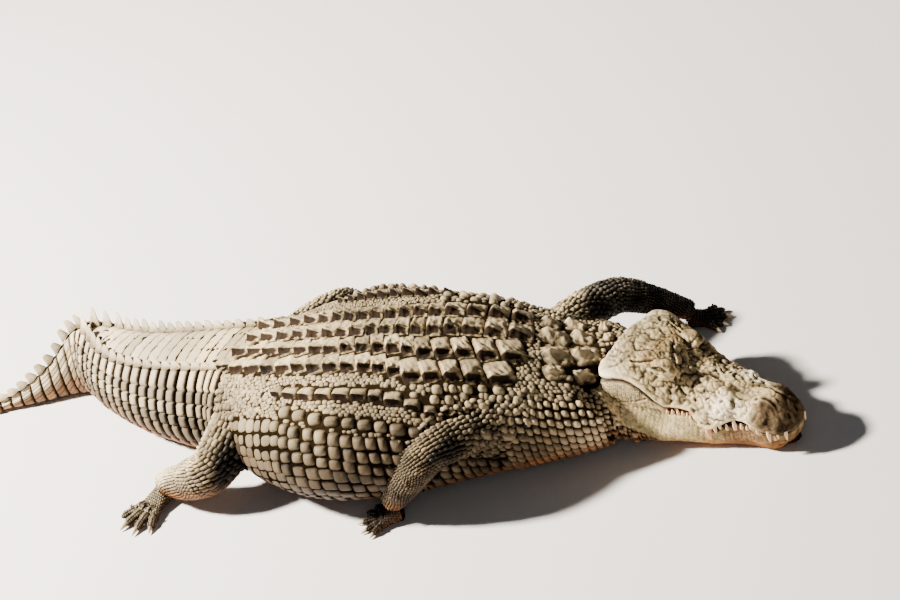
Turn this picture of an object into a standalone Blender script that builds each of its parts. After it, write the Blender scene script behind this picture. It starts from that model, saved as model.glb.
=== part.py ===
"""A life-size Nile crocodile that basks on its belly, in metres, +Z up and +X towards the head.

The origin is on the floor, under the middle of the belly. The animal is cut into head, lower jaw,
eyes, neck, trunk, three lengths of tail and three lengths of each leg. The solids reach the outside
of the scales, and everything that touches the floor does so on small flats at Z = 0.
"""

from math import cos, pi, radians, sin

import bmesh
import bpy
import numpy as np
from mathutils import Vector

# ---------------------------------------------------------------- driving dimensions
GAP = 0.0003            # left between two solids that touch
FLOOR = 0.0             # the level that the animal lies on

JAW_LENGTH = 0.590      # tip of the snout to the hind end of the lower jaw
SNOUT_TIP = Vector((1.100, -0.060, FLOOR))
HEAD_YAW = radians(-23)  # the head turns to the animal's right
EYE_RADIUS = 0.021

PAIRED_CRESTS = 18      # rings with two crests, side by side
SINGLE_CRESTS = 19      # rings with one, from there to the tip
CREST_START = 1.12      # length along the spine where the paired crests begin
CREST_TURNS = (radians(26), radians(43))  # how far down the sides the paired crests stand, first and last
CREST_SINK = 0.012      # how deep a crest's foot stands in the tail

# Along the back: x, y, half width, height of the back, height of the widest line, how square the back is
# (2 is an ellipse), and how much the section narrows from its widest line to the back.
SPINE = np.array([
    (0.640, 0.156, 0.128, 0.205, 0.100, 2.2, 0.00),    # inside the skull
    (0.590, 0.138, 0.192, 0.224, 0.106, 2.2, 0.00),
    (0.530, 0.116, 0.232, 0.240, 0.110, 2.3, 0.00),    # behind the jaws
    (0.450, 0.089, 0.251, 0.272, 0.118, 2.3, 0.00),
    (0.350, 0.064, 0.272, 0.324, 0.138, 2.3, 0.00),    # shoulders
    (0.210, 0.040, 0.306, 0.375, 0.162, 2.3, 0.00),
    (0.050, 0.012, 0.347, 0.403, 0.175, 2.3, 0.00),    # belly
    (-0.130, 0.003, 0.364, 0.406, 0.178, 2.3, 0.00),
    (-0.290, 0.028, 0.314, 0.380, 0.168, 2.3, 0.03),
    (-0.400, 0.060, 0.246, 0.346, 0.155, 2.5, 0.10),   # hips
    (-0.500, 0.092, 0.203, 0.320, 0.145, 2.8, 0.20),
    (-0.650, 0.127, 0.180, 0.296, 0.130, 3.1, 0.32),   # root of the tail
    (-0.800, 0.170, 0.152, 0.272, 0.115, 3.3, 0.38),
    (-0.930, 0.226, 0.124, 0.252, 0.105, 3.3, 0.40),
    (-1.035, 0.286, 0.100, 0.240, 0.096, 3.2, 0.42),
    (-1.100, 0.313, 0.080, 0.236, 0.088, 3.0, 0.46),   # bend, where the paired crests meet
    (-1.148, 0.314, 0.062, 0.212, 0.076, 2.8, 0.50),
    (-1.195, 0.301, 0.050, 0.166, 0.062, 2.5, 0.50),
    (-1.240, 0.282, 0.043, 0.124, 0.050, 2.3, 0.50),
    (-1.285, 0.262, 0.037, 0.094, 0.040, 2.2, 0.50),
    (-1.350, 0.238, 0.029, 0.062, 0.029, 2.1, 0.50),
    (-1.420, 0.217, 0.022, 0.042, 0.020, 2.0, 0.45),
    (-1.520, 0.198, 0.016, 0.029, 0.014, 2.0, 0.40),
    (-1.640, 0.194, 0.010, 0.019, 0.009, 2.0, 0.30),
    (-1.740, 0.206, 0.006, 0.011, 0.005, 2.0, 0.10),
    (-1.780, 0.214, 0.003, 0.007, 0.004, 2.0, 0.00),   # tip
])
X, Y, HALF, TOP, WIDEST, SQUARE, NARROW = range(7)
ALONG = np.append(0, np.hypot(*np.diff(SPINE[:, :2], axis=0).T).cumsum())  # of each row, from the head
BELLY_SQUARE = 2.2      # squareness of the lower half
BELLY_SINK = 0.10       # how far the round belly would reach below the floor, as a share of its depth

# Where the animal is divided, as lengths along the spine, and how many sections each length is drawn with
SHOULDER_CUT, HIP_CUT, BEND_CUT, TIP_CUT, TAIL_END = 0.28, 1.10, 1.79, 2.02, ALONG[-1]
LENGTHS = {
    "neck": (0, SHOULDER_CUT, 7),
    "trunk": (SHOULDER_CUT, HIP_CUT, 15),
    "tail_root": (HIP_CUT, BEND_CUT, 10),
    "tail_middle": (BEND_CUT, TIP_CUT, 8),
    "tail_tip": (TIP_CUT, TAIL_END, 9),
}

# Head, in its own frame: u runs back from the snout, v to the animal's left, w up.
# u, half width of the upper jaw, of the lower jaw, height of the top, height of the mouth line
HEAD = np.array([
    (0.000, 0.022, 0.016, 0.098, 0.072),
    (0.012, 0.046, 0.037, 0.124, 0.073),
    (0.045, 0.068, 0.055, 0.144, 0.082),
    (0.085, 0.076, 0.064, 0.156, 0.096),   # nostril hump
    (0.115, 0.072, 0.067, 0.150, 0.108),
    (0.148, 0.077, 0.076, 0.153, 0.112),   # notch for the fourth lower tooth
    (0.185, 0.092, 0.088, 0.158, 0.092),
    (0.225, 0.102, 0.100, 0.162, 0.064),   # swelling over the largest upper teeth
    (0.262, 0.105, 0.118, 0.170, 0.098),
    (0.310, 0.112, 0.138, 0.190, 0.118),
    (0.350, 0.122, 0.153, 0.226, 0.116),   # eyes
    (0.382, 0.132, 0.163, 0.244, 0.124),
    (0.430, 0.146, 0.174, 0.247, 0.142),
    (0.480, 0.158, 0.182, 0.247, 0.162),   # back of the skull
    (0.530, 0.161, 0.178, 0.236, 0.174),   # corner of the mouth
    (0.565, 0.148, 0.168, 0.208, 0.166),
    (0.590, 0.112, 0.130, 0.176, 0.150),   # hind end of the lower jaw
])
U, UPPER_HALF, LOWER_HALF, HEAD_TOP, MOUTH = range(5)
HEAD_FLAT = 0.52        # share of the half width at the crown that is as high as the middle
EYE_AT = (0.352, 0.068, 0.217)

# Teeth that show: (u, length, radius), on the upper jaw, outside the lower one
UPPER_TEETH = [(0.022, 0.022, 0.0050), (0.050, 0.030, 0.0065), (0.080, 0.020, 0.0050),
               (0.190, 0.018, 0.0055), (0.222, 0.036, 0.0085), (0.248, 0.016, 0.0055)]

# Legs, from inside the body to the ankle or wrist: x, y, z, half width, half height
LEGS = {
    "right_fore": [(0.395, -0.050, 0.170, 0.078, 0.072), (0.300, -0.180, 0.208, 0.066, 0.058),
                   (0.190, -0.285, 0.224, 0.060, 0.054), (0.112, -0.316, 0.160, 0.052, 0.048),
                   (0.054, -0.314, 0.092, 0.042, 0.038), (0.022, -0.306, 0.056, 0.035, 0.028)],
    "left_fore": [(0.370, 0.190, 0.165, 0.078, 0.072), (0.435, 0.318, 0.178, 0.064, 0.058),
                  (0.515, 0.412, 0.165, 0.054, 0.050), (0.598, 0.448, 0.118, 0.045, 0.042),
                  (0.668, 0.470, 0.068, 0.034, 0.032), (0.700, 0.478, 0.046, 0.033, 0.027)],
    "right_hind": [(-0.425, -0.020, 0.185, 0.096, 0.090), (-0.455, -0.125, 0.178, 0.080, 0.076),
                   (-0.515, -0.226, 0.124, 0.066, 0.066), (-0.600, -0.230, 0.088, 0.056, 0.056),
                   (-0.680, -0.200, 0.060, 0.042, 0.038), (-0.715, -0.204, 0.044, 0.036, 0.028)],
    "left_hind": [(-0.400, 0.160, 0.185, 0.092, 0.088), (-0.350, 0.285, 0.198, 0.076, 0.074),
                  (-0.306, 0.392, 0.184, 0.058, 0.058), (-0.308, 0.466, 0.134, 0.048, 0.048),
                  (-0.340, 0.518, 0.076, 0.038, 0.036), (-0.365, 0.545, 0.048, 0.034, 0.028)],
}
LEG_CUTS = (0.46, 0.92)  # elbow or knee, and wrist or ankle, as shares of the leg's points
LEG_LAP = 0.01          # how far a shin is drawn into the thigh, before the thigh's shape is cut out of it

# Feet: which way each points, the palm's length and half width, and its toes as
# (turn in degrees, length, radius at the root)
FEET = {
    "right_fore": (radians(192), 0.056, 0.034, [(-50, 0.052, 0.010), (-25, 0.072, 0.011), (-1, 0.078, 0.011),
                                                (23, 0.070, 0.010), (47, 0.054, 0.010)]),
    "left_fore": (radians(14), 0.056, 0.034, [(50, 0.052, 0.010), (24, 0.066, 0.011), (0, 0.070, 0.011),
                                              (-24, 0.062, 0.010), (-48, 0.050, 0.010)]),
    "right_hind": (radians(243), 0.090, 0.038, [(-28, 0.080, 0.012), (-9, 0.098, 0.013), (10, 0.098, 0.012),
                                                (30, 0.078, 0.011)]),
    "left_hind": (radians(62), 0.090, 0.038, [(28, 0.080, 0.012), (9, 0.098, 0.013), (-10, 0.098, 0.012),
                                              (-30, 0.078, 0.011)]),
}
PALM_HEIGHT = 0.034
TOE_ROOT_LIFT = 0.002   # how high a toe's root, inside the palm, stays above the floor

BODY_SIDES, HEAD_SIDES, HEAD_RINGS, LEG_SIDES, LEG_RINGS, TOE_SIDES = 20, 16, 17, 12, 6, 6

SKIN = (0.30, 0.27, 0.20, 1.0)
TAIL_SKIN = (0.42, 0.38, 0.29, 1.0)
HEAD_SKIN = (0.38, 0.34, 0.25, 1.0)
EYE_COLOUR = (0.22, 0.17, 0.06, 1.0)


# ---------------------------------------------------------------- tools
def clear_scene():
    for obj in list(bpy.data.objects):
        bpy.data.objects.remove(obj)


def material(name, colour, roughness):
    made = bpy.data.materials.new(name)
    made.use_nodes = True
    shader = made.node_tree.nodes["Principled BSDF"]
    shader.inputs["Base Color"].default_value = colour
    shader.inputs["Roughness"].default_value = roughness
    return made


def smooth_through(knots, values, at):
    """Values read at places between the knots, on a smooth curve through all of them."""
    slopes = np.gradient(values, knots, axis=0)
    i = np.clip(np.searchsorted(knots, at) - 1, 0, len(knots) - 2)
    step = knots[i + 1] - knots[i]
    t = (at - knots[i]) / step
    return (values[i] * (2 * t**3 - 3 * t**2 + 1) + slopes[i] * step * (t**3 - 2 * t**2 + t)
            + values[i + 1] * (3 * t**2 - 2 * t**3) + slopes[i + 1] * step * (t**3 - t**2))


def solid_from_rings(bm, rings):
    """A closed skin over rings that all have the same number of points."""
    made = [[bm.verts.new(p) for p in ring] for ring in rings]
    count = len(made[0])
    for near, far in zip(made, made[1:]):
        for k in range(count):
            after = (k + 1) % count
            bm.faces.new((near[k], near[after], far[after]))
            bm.faces.new((near[k], far[after], far[k]))
    bm.faces.new(made[0][::-1])
    bm.faces.new(made[-1])


def new_object(name, bm, look=None):
    bmesh.ops.recalc_face_normals(bm, faces=bm.faces)
    bmesh.ops.triangulate(bm, faces=bm.faces)
    mesh = bpy.data.meshes.new(name)
    bm.to_mesh(mesh)
    bm.free()
    obj = bpy.data.objects.new(name, mesh)
    bpy.context.scene.collection.objects.link(obj)
    if look:
        mesh.materials.append(look)
    return obj


def loft(name, rings, look=None):
    bm = bmesh.new()
    solid_from_rings(bm, rings)
    return new_object(name, bm, look)


def helper(obj):
    """A cutter or an added shape, which isn't a part of its own."""
    obj.hide_render = True
    obj.display_type = "WIRE"
    return obj


def boolean(obj, other, operation):
    modifier = obj.modifiers.new(f"{operation} {other.name}", "BOOLEAN")
    modifier.operation = operation
    modifier.object = other
    modifier.solver = "EXACT"


# ---------------------------------------------------------------- neck, trunk and tail
def spine_at(along):
    """The spine's row of numbers at a length along it, and the direction to the animal's left there."""
    row = smooth_through(ALONG, SPINE, along)
    behind, ahead = (smooth_through(ALONG, SPINE, along + step) for step in (0.004, -0.004))
    forward = Vector((ahead[X] - behind[X], ahead[Y] - behind[Y], 0)).normalized()
    return row, Vector((-forward.y, forward.x, 0))


def body_point(row, left, turn, grow=0.0):
    """A place on the section of one row: turn is 0 at mid-back, and grows down the left side."""
    rise, out = cos(turn), sin(turn)
    if rise > 0:
        share = rise ** (2 / row[SQUARE])
        z = row[WIDEST] + (row[TOP] - row[WIDEST]) * share + grow
        width = row[HALF] * abs(out) ** (2 / row[SQUARE]) * (1 - row[NARROW] * share**2)
    else:
        share = abs(rise) ** (2 / BELLY_SQUARE)
        z = row[WIDEST] * (1 - share * (1 + BELLY_SINK)) - grow
        width = row[HALF] * abs(out) ** (2 / BELLY_SQUARE)
    width += grow
    return Vector((row[X], row[Y], max(z, FLOOR - grow))) + left * (width if out > 0 else -width)


def body_ring(along, grow=0.0):
    """A section of the body at a length along the spine."""
    row, left = spine_at(along)
    return [body_point(row, left, 2 * pi * (k + 0.5) / BODY_SIDES, grow) for k in range(BODY_SIDES)]


def body_places(start, end, rings):
    return list(np.linspace(start + GAP / 2, end - GAP / 2, rings))


def body_length(name, start, end, rings, look):
    return loft(name, [body_ring(along) for along in body_places(start, end, rings)], look)


def crest(bm, along, turn, height, lean, pitch):
    """One upright scale of the tail's crest: a fin whose foot is sunk in the tail."""
    row, left = spine_at(along)
    forward = Vector((left.y, -left.x, 0))
    up = (Vector((0, 0, 1)) + left * lean - forward * 0.20).normalized()
    foot = body_point(row, left, turn) - up * CREST_SINK
    long, thick = pitch * 0.42, 0.0065
    corners = [foot + forward * long * i + left * thick * j for i, j in ((-1, -1), (1, -1), (1, 1), (-1, 1))]
    tips = [foot + up * (height + CREST_SINK) + forward * long * i + left * 0.002 * j
            for i, j in ((-0.75, -1), (0.15, -1), (0.15, 1), (-0.75, 1))]
    solid_from_rings(bm, [corners, tips])


def tail_crests(name, start, end):
    """The crest scales that stand wholly between two lengths along the spine, as one helper."""
    bm = bmesh.new()
    pitch = (BEND_CUT - CREST_START) / PAIRED_CRESTS
    for k in range(PAIRED_CRESTS):
        along = CREST_START + pitch * (k + 0.5)
        if start + pitch / 2 <= along <= end - pitch / 2:
            rise = k / PAIRED_CRESTS
            for side in (-1, 1):
                turn = side * (CREST_TURNS[0] + (CREST_TURNS[1] - CREST_TURNS[0]) * rise) * (1 - 0.8 * rise**8)
                crest(bm, along, turn, 0.024 + 0.020 * rise, side * 0.60, pitch)
    pitch = (TAIL_END - BEND_CUT) / (SINGLE_CRESTS + 1)
    for k in range(SINGLE_CRESTS):
        along = BEND_CUT + pitch * (k + 0.6)
        if start + pitch / 2 <= along <= end - pitch / 2:
            crest(bm, along, 0.0, 0.006 + 0.040 * (1 - k / SINGLE_CRESTS) ** 1.6, 0.0, pitch)
    return helper(new_object(name, bm))


# ---------------------------------------------------------------- head
def head_to_world(u, v, w):
    """A place in the head's own frame, turned to the animal's right."""
    forward = Vector((cos(HEAD_YAW), sin(HEAD_YAW), 0))
    left = Vector((-sin(HEAD_YAW), cos(HEAD_YAW), 0))
    place = SNOUT_TIP - forward * u + left * v
    return Vector((place.x, place.y, max(w, FLOOR)))


def upper_ring(u, grow=0.0):
    """A section of the upper jaw and skull: flat crown, sloping cheeks, and the mouth line for a floor."""
    _, half, _, top, mouth = smooth_through(HEAD[:, U], HEAD, u)
    crown = min(HEAD_FLAT * half, 0.068)
    count = HEAD_SIDES // 2
    side = []
    for k in range(count + 1):
        turn = pi / 2 * k / count
        side.append((crown * min(1, 2 * k / count) + (half - crown) * sin(turn) ** 1.6,
                     mouth + (top - mouth) * cos(turn) ** 0.8))
    side = [(v + grow, w + grow) for v, w in side[:-1]] + [(side[-1][0] + grow, mouth + GAP / 2 - grow)]
    return [head_to_world(u, v, w) for v, w in side] + [head_to_world(u, -v, w) for v, w in side[:0:-1]]


def lower_ring(u, grow=0.0):
    """A section of the lower jaw: flat on top along the mouth line, round sides and a flat chin."""
    _, _, half, _, mouth = smooth_through(HEAD[:, U], HEAD, u)
    ring = []
    for k in range(HEAD_SIDES):
        turn = 2 * pi * (k + 0.5) / HEAD_SIDES
        v = half * np.sign(sin(turn)) * abs(sin(turn)) ** 0.7
        w = mouth / 2 + mouth / 2 * np.sign(cos(turn)) * abs(cos(turn)) ** 0.7
        w = min(w, mouth - GAP / 2) + (grow if w > mouth / 2 else -grow)
        ring.append(head_to_world(u, v + grow * np.sign(v), w))
    return ring


def head_places(last=JAW_LENGTH):
    """Places along the head, closer together at the snout."""
    return [last * (k / (HEAD_RINGS - 1)) ** 1.15 for k in range(HEAD_RINGS)]


def tooth(bm, u, side, length, radius):
    """A cone that points down from the rim of the upper jaw."""
    _, half, _, _, mouth = smooth_through(HEAD[:, U], HEAD, u)
    rings = []
    for share, size in ((-0.35, 1.0), (0.45, 0.8), (1.0, 0.12)):
        ring = [(radius * size * cos(a), radius * size * sin(a)) for a in np.arange(5) * 2 * pi / 5]
        rings.append([head_to_world(u + back, side * (half - radius * 0.9) + out, mouth - length * share)
                      for back, out in ring])
    solid_from_rings(bm, rings)


def ball(name, centre, radius, look=None):
    bm = bmesh.new()
    bmesh.ops.create_uvsphere(bm, u_segments=12, v_segments=8, radius=radius)
    bmesh.ops.translate(bm, verts=bm.verts, vec=centre)
    return new_object(name, bm, look)


def build_head(look, eye_look):
    upper = loft("head", [upper_ring(u) for u in head_places()], look)
    jaw = loft("lower_jaw", [lower_ring(u) for u in head_places()], look)
    bm = bmesh.new()
    for side in (-1, 1):
        for u, length, radius in UPPER_TEETH:
            tooth(bm, u, side, length, radius)
    teeth = helper(new_object("teeth_added", bm))
    jaw_room = helper(loft("lower_jaw_room", [lower_ring(u, GAP) for u in head_places(JAW_LENGTH + GAP)]))
    boolean(teeth, jaw_room, "DIFFERENCE")
    boolean(upper, teeth, "UNION")
    for name, side in (("eye_right", -1), ("eye_left", 1)):
        u, v, w = EYE_AT
        centre = head_to_world(u, side * v, w)
        ball(name, centre, EYE_RADIUS, eye_look)
        boolean(upper, helper(ball(name + "_socket", centre, EYE_RADIUS + GAP * 2)), "DIFFERENCE")
    return upper, jaw


def head_room():
    """The space of the head, a little larger than it, which the neck leaves free."""
    upper = helper(loft("head_room", [upper_ring(u, GAP) for u in head_places(JAW_LENGTH + GAP)]))
    lower = bpy.data.objects["lower_jaw_room"]
    return upper, lower


# ---------------------------------------------------------------- legs
def leg_ring(points, share, size=1.0, onward=0.0):
    """A section of a leg, square to its line, at a share of the way along its points."""
    knots = np.linspace(0, 1, len(points))
    row = smooth_through(knots, points, share)
    behind = smooth_through(knots, points, max(share - 0.01, 0))
    ahead = smooth_through(knots, points, min(share + 0.01, 1))
    along = Vector((ahead - behind)[:3]).normalized()
    across = along.cross(Vector((0, 0, 1))).normalized()
    up = across.cross(along)
    centre = Vector(row[:3]) + along * onward
    ring = []
    for k in range(LEG_SIDES):
        turn = 2 * pi * k / LEG_SIDES
        place = centre + across * (row[3] * size * cos(turn)) + up * (row[4] * size * sin(turn))
        ring.append(Vector((place.x, place.y, max(place.z, FLOOR))))
    return ring


def leg_length(name, points, start, end, look, plug=False):
    """One length of a leg. A plug is a narrower end that starts inside the length before it."""
    rings = [leg_ring(points, share) for share in np.linspace(start, end, LEG_RINGS)]
    if plug:
        rings.insert(0, leg_ring(points, start, 0.6, -LEG_LAP))
    return loft(name, rings, look)


def leg_room(name, points, start, end):
    """The space of one length of a leg, a little larger than it, which the next length leaves free."""
    grown = points + (0, 0, 0, 2 * GAP, 2 * GAP)
    rings = [leg_ring(grown, share) for share in np.linspace(start, end, LEG_RINGS)]
    return helper(loft(name, rings + [leg_ring(grown, end, 1.0, GAP)]))


def toe(bm, root, heading, length, radius):
    """A toe that arches a little and ends in a claw, flat underneath where it meets the floor."""
    forward = Vector((cos(heading), sin(heading), 0))
    across = Vector((-forward.y, forward.x, 0))
    rings = []
    sections = [(-0.1, 1.2, 0.008), (0.42, 1.0, 0.006), (0.72, 0.82, 0.001),
                (0.80, 0.45, 0.001), (1.0, 0.10, -0.006)]   # share of the length, size, arch
    for share, size, arch in sections:
        centre = root + forward * (length * share)
        centre.z = radius * 0.85 + arch
        ring = []
        for k in range(TOE_SIDES):
            turn = 2 * pi * (k + 0.5) / TOE_SIDES
            place = centre + across * radius * size * cos(turn) + Vector((0, 0, radius * size * sin(turn)))
            ring.append(Vector((place.x, place.y, max(place.z, FLOOR if share > 0 else TOE_ROOT_LIFT))))
        rings.append(ring)
    solid_from_rings(bm, rings)


def build_foot(name, wrist, heading, palm_length, palm_half, toes, look):
    """The palm or sole, a low wedge on the floor, with its toes joined on."""
    forward = Vector((cos(heading), sin(heading), 0))
    across = Vector((-forward.y, forward.x, 0))
    rings = []
    for share, size, height in ((-0.22, 0.72, 1.75), (0.3, 0.90, 1.35), (0.8, 1.05, 0.92), (1.0, 0.98, 0.70)):
        centre = Vector((wrist.x, wrist.y, 0)) + forward * palm_length * share
        ring = []
        for k in range(LEG_SIDES):
            turn = 2 * pi * k / LEG_SIDES
            out = np.sign(cos(turn)) * abs(cos(turn)) ** 0.8
            rise = np.sign(sin(turn)) * abs(sin(turn)) ** 0.8
            half = PALM_HEIGHT * height / 2
            up = Vector((0, 0, max(FLOOR, half + half * rise)))
            ring.append(centre + across * palm_half * size * out + up)
        rings.append(ring)
    foot = loft(name, rings, look)
    for k, (turn, length, radius) in enumerate(toes):
        bm = bmesh.new()
        side = palm_half * 0.78 * (2 * k / (len(toes) - 1) - 1)
        if toes[0][0] > 0:
            side = -side
        root = Vector((wrist.x, wrist.y, 0)) + forward * palm_length * 0.80 + across * side
        toe(bm, root, heading + radians(turn), length, radius)
        boolean(foot, helper(new_object(f"{name}_toe_{k}", bm)), "UNION")
    return foot


def build_leg(name, body_room, look):
    points = np.array(LEGS[name])
    elbow, wrist = LEG_CUTS
    upper = leg_length(f"{name}_upper", points, 0.0, elbow, look)
    lower = leg_length(f"{name}_lower", points, elbow, wrist, look, plug=True)
    heading, palm_length, palm_half, toes = FEET[name]
    end = Vector(smooth_through(np.linspace(0, 1, len(points)), points, wrist)[:3])
    foot = build_foot(f"{name}_foot", end, heading, palm_length, palm_half, toes, look)
    upper_room = leg_room(f"{name}_upper_room", points, 0.0, elbow)
    boolean(lower, upper_room, "DIFFERENCE")
    boolean(foot, leg_room(f"{name}_lower_room", points, elbow, wrist), "DIFFERENCE")
    for piece in (upper, lower, foot):
        boolean(piece, body_room, "DIFFERENCE")


# ---------------------------------------------------------------- the whole animal
def build():
    clear_scene()
    skin = material("body_skin", SKIN, 0.75)
    tail_skin = material("tail_skin", TAIL_SKIN, 0.75)
    head_skin = material("head_skin", HEAD_SKIN, 0.65)
    eye_look = material("eye", EYE_COLOUR, 0.15)

    build_head(head_skin, eye_look)
    for name, (start, end, rings) in LENGTHS.items():
        length = body_length(name, start, end, rings, tail_skin if "tail" in name else skin)
        if "tail" in name:
            boolean(length, tail_crests(f"{name}_crests", start, end), "UNION")
        if name == "neck":
            for room in head_room():
                boolean(length, room, "DIFFERENCE")

    places = [along for length in LENGTHS.values() for along in body_places(*length)]
    body_room = helper(loft("body_room", [body_ring(along, GAP) for along in places]))
    for name in LEGS:
        build_leg(name, body_room, skin)


build()
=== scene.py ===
from math import cos, pi, radians, sin

import bpy
import numpy as np
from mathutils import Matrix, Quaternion, Vector
from mathutils.bvhtree import BVHTree


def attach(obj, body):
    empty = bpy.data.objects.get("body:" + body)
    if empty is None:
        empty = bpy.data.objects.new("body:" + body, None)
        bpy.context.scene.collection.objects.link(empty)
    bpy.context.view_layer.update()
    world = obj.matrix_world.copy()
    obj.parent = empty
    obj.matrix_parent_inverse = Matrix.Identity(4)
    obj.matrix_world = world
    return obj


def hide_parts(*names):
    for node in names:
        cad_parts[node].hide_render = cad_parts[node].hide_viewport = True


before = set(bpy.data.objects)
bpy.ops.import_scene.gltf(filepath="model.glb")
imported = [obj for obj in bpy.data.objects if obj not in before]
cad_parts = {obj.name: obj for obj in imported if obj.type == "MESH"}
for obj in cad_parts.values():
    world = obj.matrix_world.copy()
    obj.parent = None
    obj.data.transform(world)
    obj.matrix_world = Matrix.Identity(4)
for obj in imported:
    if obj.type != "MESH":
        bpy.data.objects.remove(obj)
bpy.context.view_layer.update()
scene = bpy.context.scene


# ---------------------------------------------------------------- standpoint
# The viewer stands on the animal's right, ahead of its shoulder, and looks down at it by about 34 degrees.
# The view is tipped a little over to one side, so that the animal's back runs nearly level.
STANDPOINT = Vector((3.058, -5.751, 4.846))
LOOKS_AT = Vector((0.133, 0.190, 0.349))
TIPPED = radians(-18.4)
camera = bpy.data.objects.new("standpoint", bpy.data.cameras.new("standpoint"))
scene.collection.objects.link(camera)
camera.location = STANDPOINT
camera.rotation_mode = "QUATERNION"
camera.rotation_quaternion = (LOOKS_AT - STANDPOINT).to_track_quat("-Z", "Y") @ Quaternion((0, 0, 1), TIPPED)
camera.data.sensor_width = 36
camera.data.lens = 117.4
camera.data.clip_end = 60
scene.camera = camera


# ---------------------------------------------------------------- hide
# The hide is one leathery skin over the whole animal, which lies a few millimetres below the tops of the
# scales and shows as dark skin in the grooves between them. On the head it is thin and bare, and is drawn
# tight over the bone. It is cast in one piece: lofted lengths are fused, then worked over.

# x, y, half width, height of the top, height of the widest part, squareness, and how far the top draws in
SPINE = np.array([
    (0.640, 0.156, 0.128, 0.205, 0.100, 2.2, 0.00),
    (0.590, 0.138, 0.192, 0.224, 0.106, 2.2, 0.00),
    (0.530, 0.116, 0.232, 0.240, 0.110, 2.3, 0.00),
    (0.450, 0.089, 0.251, 0.272, 0.118, 2.3, 0.00),
    (0.350, 0.064, 0.272, 0.324, 0.138, 2.3, 0.00),
    (0.210, 0.040, 0.306, 0.375, 0.162, 2.3, 0.00),
    (0.050, 0.012, 0.347, 0.403, 0.175, 2.3, 0.00),
    (-0.130, 0.003, 0.364, 0.406, 0.178, 2.3, 0.00),
    (-0.290, 0.028, 0.314, 0.380, 0.168, 2.3, 0.03),
    (-0.400, 0.060, 0.246, 0.346, 0.155, 2.5, 0.10),
    (-0.500, 0.092, 0.203, 0.320, 0.145, 2.8, 0.20),
    (-0.650, 0.127, 0.180, 0.296, 0.130, 3.1, 0.32),
    (-0.800, 0.170, 0.152, 0.272, 0.115, 3.3, 0.38),
    (-0.930, 0.226, 0.124, 0.252, 0.105, 3.3, 0.40),
    (-1.035, 0.286, 0.100, 0.240, 0.096, 3.2, 0.42),
    (-1.100, 0.313, 0.080, 0.236, 0.088, 3.0, 0.46),
    (-1.148, 0.314, 0.062, 0.212, 0.076, 2.8, 0.50),
    (-1.195, 0.301, 0.050, 0.166, 0.062, 2.5, 0.50),
    (-1.240, 0.282, 0.043, 0.124, 0.050, 2.3, 0.50),
    (-1.285, 0.262, 0.037, 0.094, 0.040, 2.2, 0.50),
    (-1.350, 0.238, 0.029, 0.062, 0.029, 2.1, 0.50),
    (-1.420, 0.217, 0.022, 0.042, 0.020, 2.0, 0.45),
    (-1.520, 0.198, 0.016, 0.029, 0.014, 2.0, 0.40),
    (-1.640, 0.194, 0.010, 0.019, 0.009, 2.0, 0.30),
    (-1.740, 0.206, 0.006, 0.011, 0.005, 2.0, 0.10),
    (-1.780, 0.214, 0.003, 0.007, 0.004, 2.0, 0.00),
])
BELLY_SQUARE = 2.2      # squareness of the lower half
SPINE_AT = np.append(0, np.hypot(*np.diff(SPINE[:, :2], axis=0).T).cumsum())
TAIL_END = SPINE_AT[-1]
UP = np.array([0, 0, 1])


def smooth_through(knots, values, at):
    """Values read between the knots, on a smooth curve through all of them."""
    at = np.atleast_1d(at)
    slopes = np.gradient(values, knots, axis=0)
    i = np.clip(np.searchsorted(knots, at) - 1, 0, len(knots) - 2)
    step = (knots[i + 1] - knots[i])[:, None]
    t = (at - knots[i])[:, None] / step
    return (values[i] * (2 * t**3 - 3 * t**2 + 1) + slopes[i] * step * (t**3 - 2 * t**2 + t)
            + values[i + 1] * (3 * t**2 - 2 * t**3) + slopes[i + 1] * step * (t**3 - t**2))


def ease(value, low, high):
    """0 below low, 1 above high, and a smooth rise between them."""
    share = np.clip((value - low) / (high - low), 0, 1)
    return share * share * (3 - 2 * share)


def band(value, start, full, fade, end):
    """1 from full to fade, 0 before start and after end, and smooth slopes between."""
    return ease(value, start, full) * (1 - ease(value, fade, end))


def bell(value, middle, reach, power=2):
    """1 at the middle, falling away to both sides."""
    return np.exp(-((value - middle) / reach) ** power)


def unit(vectors, least=0.0):
    return vectors / (np.linalg.norm(vectors, axis=-1, keepdims=True) + least)


def rings(centres, across, over, count, power=1):
    """Loops round a line of centres: across and over are each ring's half sizes, as directions."""
    turn = np.linspace(-pi, pi, count)[None, :, None]
    beside, above = (np.sign(wave) * np.abs(wave) ** power for wave in (np.sin(turn), np.cos(turn)))
    return centres[:, None] + across[:, None] * beside + over[:, None] * above


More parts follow.
